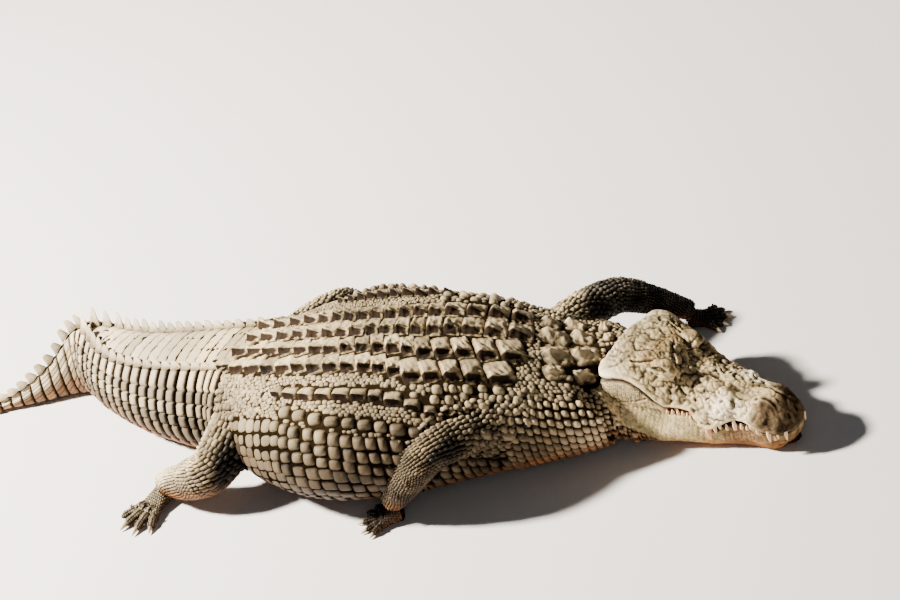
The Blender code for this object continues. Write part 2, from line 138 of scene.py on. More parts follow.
class Hide:
    """A tube of hide that is read by metres along it and metres round it, from the middle of its upper side.
    Loops run round the tube from the middle of its under side back to the same place."""

    def __init__(self, along, loops, fine=160):
        middle = loops.shape[1] // 2
        steps = np.linalg.norm(np.diff(loops, axis=1), axis=2)
        arc = np.concatenate([np.zeros((len(loops), 1)), steps.cumsum(1)], 1)
        arc -= arc[:, middle:middle + 1]
        self.along = along
        self.girth = (arc[:, -1] - arc[:, 0]) / 2
        self.share = np.linspace(-1, 1, 2 * fine + 1)
        self.places = np.empty((len(loops), 2 * fine + 1, 3))
        for i, loop in enumerate(loops):
            round_it = np.where(arc[i] < 0, arc[i] / -arc[i, 0], arc[i] / arc[i, -1])
            for axis in range(3):
                self.places[i, :, axis] = np.interp(self.share, round_it, loop[:, axis])
        lengthwise = np.gradient(self.places, axis=0)
        crosswise = np.gradient(self.places, axis=1)
        crosswise[:, [0, -1]] = (self.places[:, 1] - self.places[:, -2])[:, None]
        self.outward = unit(np.cross(crosswise, lengthwise), 1e-12)
        if ((self.places - self.places.mean(1, keepdims=True)) * self.outward).sum() < 0:
            self.outward = -self.outward

    def half_girth(self, along):
        return np.interp(along, self.along, self.girth)

    def at(self, along, around):
        """Places and outward directions at metres along and metres around."""
        share = (around / self.half_girth(along) + 1) % 2 - 1
        i = np.interp(along, self.along, np.arange(len(self.along)))
        j = (share + 1) / 2 * (len(self.share) - 1)
        i0 = np.clip(i.astype(int), 0, len(self.along) - 2)
        j0 = np.clip(j.astype(int), 0, len(self.share) - 2)
        fi, fj = (i - i0)[..., None], (j - j0)[..., None]
        read = []
        for grid in (self.places, self.outward):
            near = grid[i0, j0] * (1 - fj) + grid[i0, j0 + 1] * fj
            far = grid[i0 + 1, j0] * (1 - fj) + grid[i0 + 1, j0 + 1] * fj
            read.append(near * (1 - fi) + far * fi)
        return read[0], unit(read[1], 1e-12)


def closed_tube(loops):
    """Vertices and faces of a tube whose loops end where they start, with both ends closed."""
    loops = loops[:, :-1]
    rows, count = loops.shape[:2]
    k = np.arange(count)
    start = np.arange(rows - 1)[:, None] * count
    after = start + (k + 1) % count
    faces = np.stack([start + k, after, after + count, start + k + count], -1).reshape(-1, 4).tolist()
    faces.append(list(range(count))[::-1])
    faces.append(list(range((rows - 1) * count, rows * count)))
    return loops.reshape(-1, 3).tolist(), faces


def new_piece(name, verts, faces):
    mesh = bpy.data.meshes.new(name)
    mesh.from_pydata(verts, [], faces)
    mesh.update()
    mesh.polygons.foreach_set("use_smooth", [True] * len(mesh.polygons))
    piece = bpy.data.objects.new(name, mesh)
    scene.collection.objects.link(piece)
    return piece


def apply_modifiers(piece):
    baked = bpy.data.meshes.new_from_object(piece.evaluated_get(bpy.context.evaluated_depsgraph_get()))
    piece.modifiers.clear()
    old = piece.data
    piece.data = baked
    bpy.data.meshes.remove(old)
    baked.name = piece.name


def fuse(piece, size, smoothing):
    """Fuses whatever solids a piece holds into one even surface."""
    remesh = piece.modifiers.new("fuse", "REMESH")
    remesh.mode = "VOXEL"
    remesh.voxel_size = size
    smooth = piece.modifiers.new("smooth", "SMOOTH")
    smooth.factor = 0.5
    smooth.iterations = smoothing
    apply_modifiers(piece)


# Neck, trunk and tail: one loft along the spine, flat under the belly
stations = np.append(np.arange(0, TAIL_END, 0.005), TAIL_END)
row = smooth_through(SPINE_AT, SPINE, stations)
before, after = (smooth_through(SPINE_AT, SPINE, stations + step)[:, :2] for step in (-0.004, 0.004))
forward = unit(before - after)
left = np.stack([-forward[:, 1], forward[:, 0]], 1)
turn = np.linspace(-pi, pi, 721)[None]
rise, out = np.cos(turn), np.sin(turn)
half, top, widest, square, narrow = (row[:, k, None] for k in range(2, 7))
upper_share = np.abs(rise) ** (2 / square)
lower_share = np.abs(rise) ** (2 / BELLY_SQUARE)
height = np.where(rise > 0, widest + (top - widest) * upper_share,
                  np.maximum(0, widest * (1 - lower_share * 1.10)))
width = np.where(rise > 0, half * np.abs(out) ** (2 / square) * (1 - narrow * upper_share**2),
                 half * np.abs(out) ** (2 / BELLY_SQUARE)) * np.sign(out)
body_rings = np.stack([row[:, :1] + left[:, :1] * width, row[:, 1:2] + left[:, 1:] * width, height], -1)
BODY = Hide(stations, body_rings)
SCALE_DEPTH = 0.007     # how far the hide lies below the tops of the scales on the trunk

# Legs: each tapers from inside the body to the wrist or ankle: x, y, z, half width, half height
LEGS = {
    "right_fore": [(0.395, -0.050, 0.170, 0.078, 0.072), (0.300, -0.180, 0.208, 0.066, 0.058),
                   (0.190, -0.285, 0.224, 0.060, 0.054), (0.112, -0.316, 0.160, 0.052, 0.048),
                   (0.054, -0.314, 0.092, 0.042, 0.038), (0.022, -0.306, 0.056, 0.035, 0.028)],
    "left_fore": [(0.370, 0.190, 0.165, 0.078, 0.072), (0.435, 0.318, 0.178, 0.064, 0.058),
                  (0.515, 0.412, 0.165, 0.054, 0.050), (0.598, 0.448, 0.118, 0.045, 0.042),
                  (0.668, 0.470, 0.068, 0.034, 0.032), (0.700, 0.478, 0.046, 0.033, 0.027)],
    "right_hind": [(-0.425, -0.020, 0.185, 0.096, 0.090), (-0.455, -0.125, 0.178, 0.080, 0.076),
                   (-0.515, -0.226, 0.124, 0.066, 0.066), (-0.600, -0.230, 0.088, 0.056, 0.056),
                   (-0.680, -0.200, 0.060, 0.042, 0.038), (-0.715, -0.204, 0.044, 0.036, 0.028)],
    "left_hind": [(-0.400, 0.160, 0.185, 0.092, 0.088), (-0.350, 0.285, 0.198, 0.076, 0.074),
                  (-0.306, 0.392, 0.184, 0.058, 0.058), (-0.308, 0.466, 0.134, 0.048, 0.048),
                  (-0.340, 0.518, 0.076, 0.038, 0.036), (-0.365, 0.545, 0.048, 0.034, 0.028)],
}
leg_hide, leg_line, wrist = {}, {}, {}
for name, points in LEGS.items():
    knots = np.linspace(0, 1, 6)
    shares = np.linspace(0, 0.97, 90)
    row, after, before = (smooth_through(knots, np.array(points), shares + step) for step in (0, 0.01, -0.01))
    line = unit((after - before)[:, :3])
    across = unit(np.cross(line, UP))
    over = np.cross(across, line)
    loops = rings(row[:, :3], across * row[:, 3:4], over * row[:, 4:5], 97)
    loops[..., 2] = np.maximum(loops[..., 2], 0)
    steps = np.linalg.norm(np.diff(row[:, :3], axis=0), axis=1)
    leg_hide[name] = Hide(np.append(0, steps.cumsum()), loops, 48)
    leg_line[name] = row[20:, :3], row[20:, 3:].mean(axis=1)    # middle and half thickness, outside the body
    wrist[name] = smooth_through(knots, np.array(points), 0.92)[0, :3]

# Feet: the way each points, palm length and half width, and its toes as (turn, length, radius)
FEET = {
    "right_fore": (192, 0.056, 0.034, [(-50, 0.052, 0.010), (-25, 0.072, 0.011), (-1, 0.078, 0.011),
                                       (23, 0.070, 0.010), (47, 0.054, 0.010)]),
    "left_fore": (14, 0.056, 0.034, [(50, 0.052, 0.010), (24, 0.066, 0.011), (0, 0.070, 0.011),
                                     (-24, 0.062, 0.010), (-48, 0.050, 0.010)]),
    "right_hind": (243, 0.090, 0.038, [(-28, 0.080, 0.012), (-9, 0.098, 0.013), (10, 0.098, 0.012),
                                       (30, 0.078, 0.011)]),
    "left_hind": (62, 0.090, 0.038, [(28, 0.080, 0.012), (9, 0.098, 0.013), (-10, 0.098, 0.012),
                                     (-30, 0.078, 0.011)]),
}
PALM_START = -0.22      # where the palm begins and a toe ends, as shares of their lengths
TOE_START, TOE_END = -0.1, 0.80
palm_hide, toe_hide, toe_tips = {}, {}, {}


def heading_frame(degrees):
    """Forward and leftward directions on the floor."""
    turn = radians(degrees)
    return np.array([cos(turn), sin(turn), 0]), np.array([-sin(turn), cos(turn), 0])


for name, (heading, palm_length, palm_half, toes) in FEET.items():
    onward, sideways = heading_frame(heading)
    root = wrist[name] * (1, 1, 0)
    knots = [PALM_START, 0.05, 0.3, 0.55, 0.8, 0.94, 1.0]
    share = np.linspace(PALM_START, 1, 40)
    size = np.interp(share, knots, [0.72, 0.82, 0.90, 0.98, 1.05, 1.03, 0.90])[:, None]
    thick = np.interp(share, knots, np.array([1.75, 1.55, 1.35, 1.12, 0.92, 0.78, 0.58]) * 0.017)[:, None]
    middle = root + onward * palm_length * share[:, None] + UP * thick
    palm_hide[name] = Hide(palm_length * (share - PALM_START),
                           rings(middle, sideways * (palm_half * size), UP * thick, 73, power=0.8), 36)
    toe_hide[name], toe_tips[name] = [], []
    for k, (turn_out, length, radius) in enumerate(toes):
        side = palm_half * 0.78 * (2 * k / (len(toes) - 1) - 1) * (-1 if toes[0][0] > 0 else 1)
        start = root + onward * palm_length * 0.80 + sideways * side
        ahead, beside = heading_frame(heading + turn_out)
        share = np.linspace(TOE_START, TOE_END, 30)
        size = np.interp(share, [TOE_START, 0.42, 0.66, 0.74, TOE_END], [1.15, 1.0, 0.88, 0.72, 0.30])
        size = (radius * size * (1 + 0.10 * np.cos(share * 21)))[:, None]
        arch = np.interp(share, [TOE_START, 0.42, 0.72, TOE_END], [0.008, 0.006, 0.001, 0.000])
        centre = start + ahead * (length * share)[:, None] + UP * (radius * 0.85 + arch)[:, None]
        loops = rings(centre, beside * size, UP * size, 49)
        loops[..., 2] = np.maximum(loops[..., 2], 0.0005)
        toe_hide[name].append(Hide(length * (share - TOE_START), loops, 24))
        toe_tips[name].append((start + ahead * length * 0.74, ahead, beside, length * 0.26, radius))

# Head, in its own frame: u runs back from the snout, v to the animal's left, w up.
# u, half width of the upper jaw, of the lower jaw, height of the top, height of the mouth
HEAD = np.array([
    (0.000, 0.022, 0.016, 0.098, 0.072),
    (0.012, 0.046, 0.037, 0.124, 0.073),
    (0.045, 0.068, 0.055, 0.144, 0.082),
    (0.085, 0.076, 0.064, 0.156, 0.096),
    (0.115, 0.072, 0.067, 0.150, 0.108),
    (0.148, 0.077, 0.076, 0.153, 0.112),
    (0.185, 0.092, 0.088, 0.158, 0.092),
    (0.225, 0.102, 0.100, 0.162, 0.064),
    (0.262, 0.105, 0.118, 0.170, 0.098),
    (0.310, 0.112, 0.138, 0.190, 0.118),
    (0.350, 0.122, 0.153, 0.226, 0.116),
    (0.382, 0.132, 0.163, 0.244, 0.124),
    (0.430, 0.146, 0.174, 0.247, 0.142),
    (0.480, 0.158, 0.182, 0.247, 0.162),
    (0.530, 0.161, 0.178, 0.236, 0.174),
    (0.565, 0.148, 0.168, 0.208, 0.166),
    (0.590, 0.112, 0.130, 0.176, 0.150),
])
SNOUT_TIP = np.array([1.100, -0.060, 0.0])
HEAD_FORWARD, HEAD_LEFT = heading_frame(-23)
EYE = np.array([0.352, 0.068, 0.217])
EYE_RADIUS = 0.0205


def to_world(u, v, w):
    u, v, w = (np.asarray(part)[..., None] for part in (u, v, w))
    return SNOUT_TIP - u * HEAD_FORWARD + v * HEAD_LEFT + w * UP


def to_head(places):
    away = np.asarray(places) - SNOUT_TIP
    return -away @ HEAD_FORWARD, away @ HEAD_LEFT, away[..., 2]


u = 0.588 * np.linspace(0, 1, 150) ** 1.1
_, upper, lower, top, mouth = smooth_through(HEAD[:, 0], HEAD, u).T[:, :, None]
turn = np.linspace(0, pi / 2, 60)[None]
crown = np.minimum(0.52 * upper, 0.068)
lip = (crown * np.minimum(1, 4 * turn / pi) + (upper - crown) * np.sin(turn) ** 1.6,
       mouth + (top - mouth) * np.cos(turn) ** 0.8)
drop = np.linspace(0.03, 1, 40)[None]
jaw_half = upper - 0.003 + (lower - upper + 0.003) * ease(drop, 0, 0.5)
jaw = (jaw_half * (1 - 0.40 * ease(drop, 0.55, 1.15) ** 1.3), mouth * (1 - drop))
chin = (jaw[0][:, -1:] * np.linspace(0.95, 0, 20)[None], np.zeros((len(u), 20)))
side_v, side_w = (np.concatenate([lip[k], jaw[k], chin[k]], 1) for k in (0, 1))
v = np.concatenate([-side_v[:, ::-1], side_v[:, 1:]], 1)
w = np.concatenate([side_w[:, ::-1], side_w[:, 1:]], 1)
HEAD_HIDE = Hide(u, to_world(u[:, None], v, w), 200)

# The rear edge of the jaws, as places (w, u). Behind it the skull narrows and is buried in the neck.
JAW_EDGE = np.array([(0.030, 0.432), (0.061, 0.458), (0.099, 0.480), (0.142, 0.508), (0.193, 0.514),
                     (0.216, 0.527), (0.235, 0.535)])


def behind_jaws(u, w):
    return u - np.interp(w, *JAW_EDGE.T)


def head_share(u, v, w):
    """1 on the head, 0 behind the edge of the jaws and on the neck beside it."""
    beside = np.abs(v) - np.interp(w, [0.04, 0.10, 0.16, 0.20, 0.24], [0.150, 0.186, 0.186, 0.168, 0.160])
    return ease(-behind_jaws(u, w), -0.006, 0.0) * ease(-beside, -0.006, 0.0) * ease(-u, -0.560, -0.545)


buried = ease(behind_jaws(u[:, None], w), 0.0, 0.024)
pinched = ease(u[:, None], 0.475, 0.525) * ease(w, 0.14, 0.19) * (np.abs(v) > 0.05)
HEAD_FORM = Hide(u, to_world(u[:, None], v * (1 - 0.55 * buried) * (1 - 0.14 * pinched),
                             w - 0.060 * buried * ease(w, 0.06, 0.12)), 200)

# Trunk and legs are fused and smoothed first, so that shoulders and hips flow into the flanks
verts, faces = [], []


def add_loops(loops):
    more_verts, more_faces = closed_tube(loops)
    faces.extend([[k + len(verts) for k in face] for face in more_faces])
    verts.extend(more_verts)


def add_tube(sheet, depth, thin=1, start=0, tuck=0.0):
    """Adds a sheet's tube, drawn in by a depth of at most thin times its girth, and by the tuck besides."""
    depth = (np.minimum(depth, sheet.girth * thin)[:, None] + tuck)[start:, :, None]
    loops = (sheet.places[start:] - sheet.outward[start:] * depth)[:, ::4]
    loops[:, -1] = loops[:, 0]
    loops[..., 2] = np.maximum(loops[..., 2], 0.0008)
    add_loops(loops)


u, v, w = to_head(BODY.places)
inside_jaw = ease(0.006 - behind_jaws(u, w), 0.0, 0.024) * (np.abs(v) < 0.24) * (w > 0.02)
add_tube(BODY, SCALE_DEPTH, 0.1, tuck=0.034 * inside_jaw)
for sheet in leg_hide.values():
    add_tube(sheet, 0.003)
hide = new_piece("hide", verts, faces)
fuse(hide, 0.006, 14)

# Head, tail tip, feet and brows keep their crisp forms
verts, faces = [list(v.co) for v in hide.data.vertices], [list(p.vertices) for p in hide.data.polygons]
add_tube(HEAD_FORM, 0.001)
add_tube(BODY, 0.004, 0.02, start=np.searchsorted(stations, 2.15))
for name in FEET:
    add_tube(palm_hide[name], 0.002)
    for sheet in toe_hide[name]:
        add_tube(sheet, 0.0008)
for side in (-1, 1):
    tilt = np.linspace(0.05, pi - 0.05, 17)
    middle = to_world(EYE[0] + 0.004 + 0.036 * np.cos(tilt), side * EYE[1], EYE[2] - 0.002)
    swell = np.sin(tilt)[:, None]
    add_loops(rings(middle, HEAD_LEFT * 0.0235 * swell, UP * 0.0245 * swell, 33))
bpy.data.objects.remove(hide)
hide = new_piece("hide", verts, faces)
fuse(hide, 0.0026, 2)


def read_points(piece):
    """Places and outward directions of a piece's points."""
    read = []
    for kind in ("co", "normal"):
        values = np.empty(len(piece.data.vertices) * 3)
        piece.data.vertices.foreach_get(kind, values)
        read.append(values.reshape(-1, 3))
    return read


# The head is worked over: lips, lids, ear flaps, nostrils, pits and wrinkles
places, outward = read_points(hide)
u, v, w = to_head(places)
on_head = (u < 0.60) & (np.abs(v) < 0.20) & (w < 0.27)
u, v, w = u[on_head], v[on_head], w[on_head]
side = np.abs(v)
half_head = np.stack([u, side, w], 1)
lift = np.zeros(len(u))

# u, v, w, reach along u, v and w, height: swellings and hollows that both sides share
FORMS = [
    (0.060, 0.000, 0.148, 0.050, 0.040, 0.030, 0.007),   # nostril mound
    (0.235, 0.100, 0.110, 0.040, 0.040, 0.035, 0.006),   # swelling over the largest teeth
    (0.148, 0.075, 0.125, 0.020, 0.030, 0.030, -0.006),  # notch behind the nostrils
    (0.085, 0.072, 0.115, 0.022, 0.020, 0.018, 0.004),   # corner of the snout
    (0.210, 0.030, 0.160, 0.100, 0.014, 0.030, 0.004),   # two low ridges along the snout
    (0.300, 0.045, 0.185, 0.030, 0.016, 0.030, 0.005),   # bosses before the eyes
    (0.490, 0.128, 0.212, 0.045, 0.040, 0.022, 0.010),   # cheek bulge behind the eye
    (0.445, 0.135, 0.175, 0.050, 0.040, 0.020, 0.005),   # soft corner of the mouth
    (0.455, 0.165, 0.080, 0.070, 0.060, 0.045, 0.008),   # jaw muscle
    (0.430, 0.058, 0.242, 0.060, 0.012, 0.020, 0.006),   # rims of the skull's flat top
    (0.430, 0.000, 0.247, 0.050, 0.035, 0.030, -0.005),  # hollow between the rims
    (0.335, 0.000, 0.215, 0.030, 0.030, 0.030, -0.006),  # hollow between the eyes
    (0.405, 0.090, 0.215, 0.030, 0.018, 0.014, -0.006),  # hollow behind the eye
]
for fu, fv, fw, ru, rv, rw, high in FORMS:
    lift += high * bell(u, fu, ru) * bell(side, fv, rv) * bell(w, fw, rw)

# The mouth line, as places (u, w) from the front of the jaws to the corner under the ear
MOUTH_LINE = np.array([(0.000, 0.072), (0.012, 0.073), (0.050, 0.079), (0.085, 0.089), (0.115, 0.096),
                       (0.148, 0.098), (0.170, 0.093), (0.190, 0.084), (0.205, 0.074), (0.225, 0.066),
                       (0.243, 0.078), (0.258, 0.100), (0.270, 0.120), (0.300, 0.126), (0.340, 0.126),
                       (0.365, 0.145), (0.383, 0.167), (0.400, 0.182), (0.422, 0.195), (0.445, 0.203),
                       (0.470, 0.206), (0.500, 0.201), (0.530, 0.196)])


def mouth_height(u):
    return np.interp(u, *MOUTH_LINE.T)


def off_line(line, points):
    """How far points lie from a line of places, and for a line of (u, w), how far above it they are."""
    best = np.full(len(points), 9.0)
    above = np.zeros(len(points))
    for a, b in zip(line, line[1:]):
        step = b - a
        share = np.clip((points - a) @ step / (step @ step), 0, 1)
        off = points - a - share[:, None] * step
        away = np.linalg.norm(off, axis=1)
        nearer = away < best
        best[nearer] = away[nearer]
        above[nearer] = (off[:, 1] * step[0] - off[:, 0] * step[1])[nearer] / np.hypot(step[0], step[1])
    return best, above


def mouth_gaps(u, v, w, reach):
    """Where the mouth stands open: before its corner, and under the front of the lip."""
    rear = band(u, 0.262, 0.280, 0.325, 0.345) * (np.abs(v) > 0.05) * bell(w, 0.1160, 0.0090, 4)
    front = band(u, 0.050, 0.090, 0.205, 0.222) * (np.abs(v) > 0.04)
    return rear, front * bell(mouth_height(u) - w, 0.0065, reach, 4)


away, above_mouth = off_line(MOUTH_LINE, half_head[:, [0, 2]])
beside_mouth = (side > 0.35 * np.interp(u, HEAD[:, 0], HEAD[:, 1])) | (u < 0.02)
lift -= beside_mouth * 0.0075 * bell(away, 0, 0.0030) * (1 - ease(u, 0.515, 0.53))
lift += beside_mouth * 0.0022 * bell(above_mouth, 0.008, 0.005) * (1 - ease(u, 0.40, 0.45))
rear_gap, front_gap = mouth_gaps(u, v, w, 0.0062)
lift -= 0.011 * rear_gap + 0.010 * front_gap
lift -= 0.024 * ease(-u, -0.075, -0.010) * ease(-w, -0.062, -0.012)     # the front of the chin is drawn in

# Lines that are pressed in, as (half width, depth, places)
EAR_FLAP = (0.0030, 0.0070, [(0.440, 0.086, 0.231), (0.410, 0.076, 0.232), (0.378, 0.060, 0.232)])
BEHIND_EYE = (0.0026, 0.0050, [(0.418, 0.098, 0.216), (0.398, 0.088, 0.220), (0.376, 0.074, 0.220)])
LINES = [
    EAR_FLAP, BEHIND_EYE,
    (0.0020, 0.0025, [(0.257, 0.104, 0.125), (0.262, 0.106, 0.100), (0.258, 0.106, 0.078)]),  # by the teeth
    (0.0018, 0.0020, [(0.270, 0.106, 0.120), (0.274, 0.110, 0.085), (0.272, 0.110, 0.060)]),
    (0.0024, 0.0030, [(0.520, 0.150, 0.150), (0.470, 0.160, 0.142), (0.415, 0.140, 0.148),
                      (0.385, 0.130, 0.155)]),  # on the cheek
    (0.0020, 0.0030, [(0.347, 0.020, 0.222), (0.338, 0.034, 0.212), (0.334, 0.050, 0.200)]),  # before the eye
    (0.0020, 0.0024, [(0.338, 0.012, 0.216), (0.328, 0.028, 0.206), (0.322, 0.044, 0.196)]),
    (0.0020, 0.0030, [(0.536, 0.070, 0.236), (0.548, 0.100, 0.222), (0.552, 0.130, 0.200)]),  # behind it
    (0.0020, 0.0025, [(0.395, 0.040, 0.243), (0.435, 0.032, 0.246), (0.470, 0.036, 0.247)]),  # on the skull
    (0.0018, 0.0020, [(0.300, 0.085, 0.150), (0.320, 0.100, 0.140), (0.350, 0.115, 0.150)]),  # under the eye
]
for reach, deep, line in LINES:
    away, _ = off_line(np.array(line), half_head)
    lift -= deep * bell(away, 0, reach) - deep * 0.35 * bell(away, 2.2 * reach, reach)

# Pits, on both sides: u, v, w, radius, depth. Those with no w lie on top, at any height.
PITS = [
    (0.323, 0.067, 0.190, 0.0060, 0.0050), (0.257, 0.081, 0.151, 0.0050, 0.0040),
    (0.205, 0.038, 0.154, 0.0040, 0.0030), (0.185, 0.061, 0.147, 0.0050, 0.0035),
    (0.254, 0.019, 0.166, 0.0045, 0.0030), (0.143, 0.035, 0.149, 0.0050, 0.0035),
    (0.096, 0.025, 0.151, 0.0050, 0.0050), (0.372, 0.105, 0.185, 0.0045, 0.0035),
    (0.360, 0.112, 0.180, 0.0040, 0.0035), (0.200, 0.027, 0.156, 0.0045, 0.0030),
    (0.227, 0.064, 0.147, 0.0050, 0.0030), (0.269, 0.037, 0.168, 0.0045, 0.0028),
    (0.010, 0.017, 0.117, 0.0045, 0.0045),
]
chance = np.random.default_rng(7)
for _ in range(130):
    pu = 0.02 + 0.50 * chance.random()
    pv = chance.random() ** 0.7 * 0.15
    pw = np.interp(pu, HEAD[:, 0], HEAD[:, 3]) * (0.62 + 0.38 * chance.random()) if pv > 0.05 else 0.0
    big = chance.random() ** 3
    PITS.append((pu, pv, pw, 0.0022 + 0.0024 * big, 0.0009 + 0.0016 * big))
above_jaw = ease(w, 0.09, 0.11)
for pu, pv, pw, reach, deep in PITS:
    away = ((u - pu) ** 2 + (side - pv) ** 2) / reach**2
    if pw:
        away = away + ((w - pw) / (2.5 * reach)) ** 2
    lift -= deep * above_jaw * (np.exp(-away) - 0.12 * bell(np.sqrt(away), 1.9, 0.7))

# Nostrils: two raised crescents on the mound, with a slit in each
for sign in (-1, 1):
    along_slit = (u - 0.062) / 0.020
    off_slit = (v - sign * (0.016 + 0.005 * along_slit**2)) / 0.0034
    rim = bell(np.abs(off_slit), 2.3, 0.9) * bell(along_slit, 0, 1.25, 4)
    lift += (0.0026 * rim - 0.0080 * bell(off_slit, 0, 1) * bell(along_slit, 0, 1, 4)) * ease(w, 0.12, 0.13)

# The jaws end in a rounded edge, with a deep fold between them and the neck
behind = behind_jaws(u, w)
lift += ease(side, 0.075, 0.115) * (0.006 * bell(behind, -0.016, 0.016)
                                    - 0.012 * band(behind, -0.002, 0.012, 0.022, 0.055))


def mottle(places, size, seed):
    """Soft blotches of about one size, from -1 to 1."""
    chance = np.random.default_rng(seed)
    waves = chance.normal(0, 1, (24, 3)) / size * 1.6
    total = np.zeros(places.shape[:-1])
    for wave in waves:
        total += np.sin(places @ wave + chance.random() * 6.28)
    return np.clip(total / 4.5, -1, 1)


# Rugged bone shows through the skin of the skull and snout: knobs, with creases between them
over_lips = ease(w - mouth_height(u), 0.004, 0.025) * (behind < 0)
over_lips *= 1 - 0.85 * bell(u, 0.500, 0.035) * bell(w, 0.212, 0.018)
over_lips *= 0.45 + 0.55 * ease(u, 0.08, 0.16)
for size, seed, high in ((0.024, 21, 0.0030), (0.010, 22, 0.0015)):
    lift += over_lips * high * (np.abs(mottle(places[on_head], size, seed)) * 1.8 - 0.55)
lift += 0.0004 * mottle(places[on_head], 0.010, 23) + over_lips * 0.0028 * mottle(places[on_head], 0.050, 24)
lift *= ease(-u, -0.600, -0.560)
moved = places[on_head] + outward[on_head] * lift[:, None]


def eye_axes(sign):
    """The middle of an eyeball, the way it looks, and the way from its lower lid to its upper one."""
    return (to_world(*(EYE * (1, sign, 1))), HEAD_LEFT * sign * 0.80 + UP * 0.60,
            -HEAD_LEFT * sign * 0.60 + UP * 0.80)


def eye_opening(places, sign):
    """Places seen from the middle of an eyeball, how far in front they are, and where on the almond
    between the lids: y, and the distance from its middle, which is 1 at its edge."""
    centre, facing, over = eye_axes(sign)
    from_eye = places - centre
    x = -(from_eye @ HEAD_FORWARD) / 0.0235
    y = (from_eye @ over) / 0.0054 + 0.35 * x * x - 0.1
    return from_eye, from_eye @ facing, y, np.hypot(x, y)


# Lids: the hide covers each eyeball but for an almond opening, whose rim is rolled
LID = EYE_RADIUS + 0.0022
for sign in (-1, 1):
    from_eye, in_front, _, ring = eye_opening(moved, sign)
    reach = np.linalg.norm(from_eye, axis=1)
    ray = from_eye / np.maximum(reach, 1e-6)[:, None]
    near = (in_front > 0) & (reach < 0.048)
    opening = near * (1 - ease(ring**2, 0.75, 1.15))
    covered = near * (1 - opening) * (reach < LID)
    shaped = from_eye + (ray * LID - from_eye) * covered[:, None]
    shaped = shaped + ray * (near * bell(ring, 1.35, 0.33) * 0.0016)[:, None]
    shaped = shaped + (ray * (EYE_RADIUS - 0.004) - shaped) * opening[:, None]
    moved = moved - from_eye + shaped
places[on_head] = moved
places[:, 2] = np.maximum(places[:, 2], 0.0006)
hide.data.vertices.foreach_set("co", places.ravel())
hide.data.update()

# Away from the head the hide is only seen between scales, so it is thinned out
HIDE_FACES = 95000
u, v, _ = to_head(places)
keep = ease(-u, -0.62, -0.56) * (np.abs(v) < 0.21) * ease(places[:, 2], 0.0, 0.03)
foot = np.zeros(len(places), bool)
for name in FEET:
    foot |= np.hypot(*(places - wrist[name] - heading_frame(FEET[name][0])[0] * 0.06)[:, :2].T) < 0.14
spare = hide.vertex_groups.new(name="spare")
weight = np.clip(1 - 0.7 * keep - 0.6 * (foot & (places[:, 2] < 0.08)), 0.2, 1).round(1)
for level in np.unique(weight):
    spare.add(np.flatnonzero(weight == level).tolist(), float(level), "REPLACE")
thin = hide.modifiers.new("thin", "DECIMATE")
thin.ratio = min(1.0, HIDE_FACES / len(hide.data.polygons))
thin.vertex_group = "spare"
apply_modifiers(hide)
hide.vertex_groups.clear()
hide_tree = BVHTree.FromPolygons([v.co for v in hide.data.vertices], [p.vertices for p in hide.data.polygons])


def paint(red, green, blue):
    """A paint colour in light's own proportions, from how it looks in a paint book."""
    book = np.array([red, green, blue]) / 255
    return np.where(book < 0.04045, book / 12.92, ((book + 0.055) / 1.055) ** 2.4)


def blend_paint(base, other, share):
    return base + (other - base) * np.asarray(share)[..., None]


def layered(base, *layers):
    """Paints over a base, one layer after the other, each as (red, green, blue, share)."""
    for *book, share in layers:
        base = blend_paint(base, paint(*book), share)
    return base


def thigh_fold_shadow(name, places):
    """1 in the fold in front of a thigh, where it meets the belly: the place of a painted shadow."""
    line, girth = leg_line[name]
    reach = np.sqrt(sum((places[..., None, k] - line[:, k]) ** 2 for k in range(3)))
    nearest = reach.argmin(-1)
    ahead = places[..., 0] - line[nearest, 0]
    return ease(ahead, 0.012, 0.050) * (1 - ease(reach.min(-1) - girth[nearest], 0.006, 0.042))


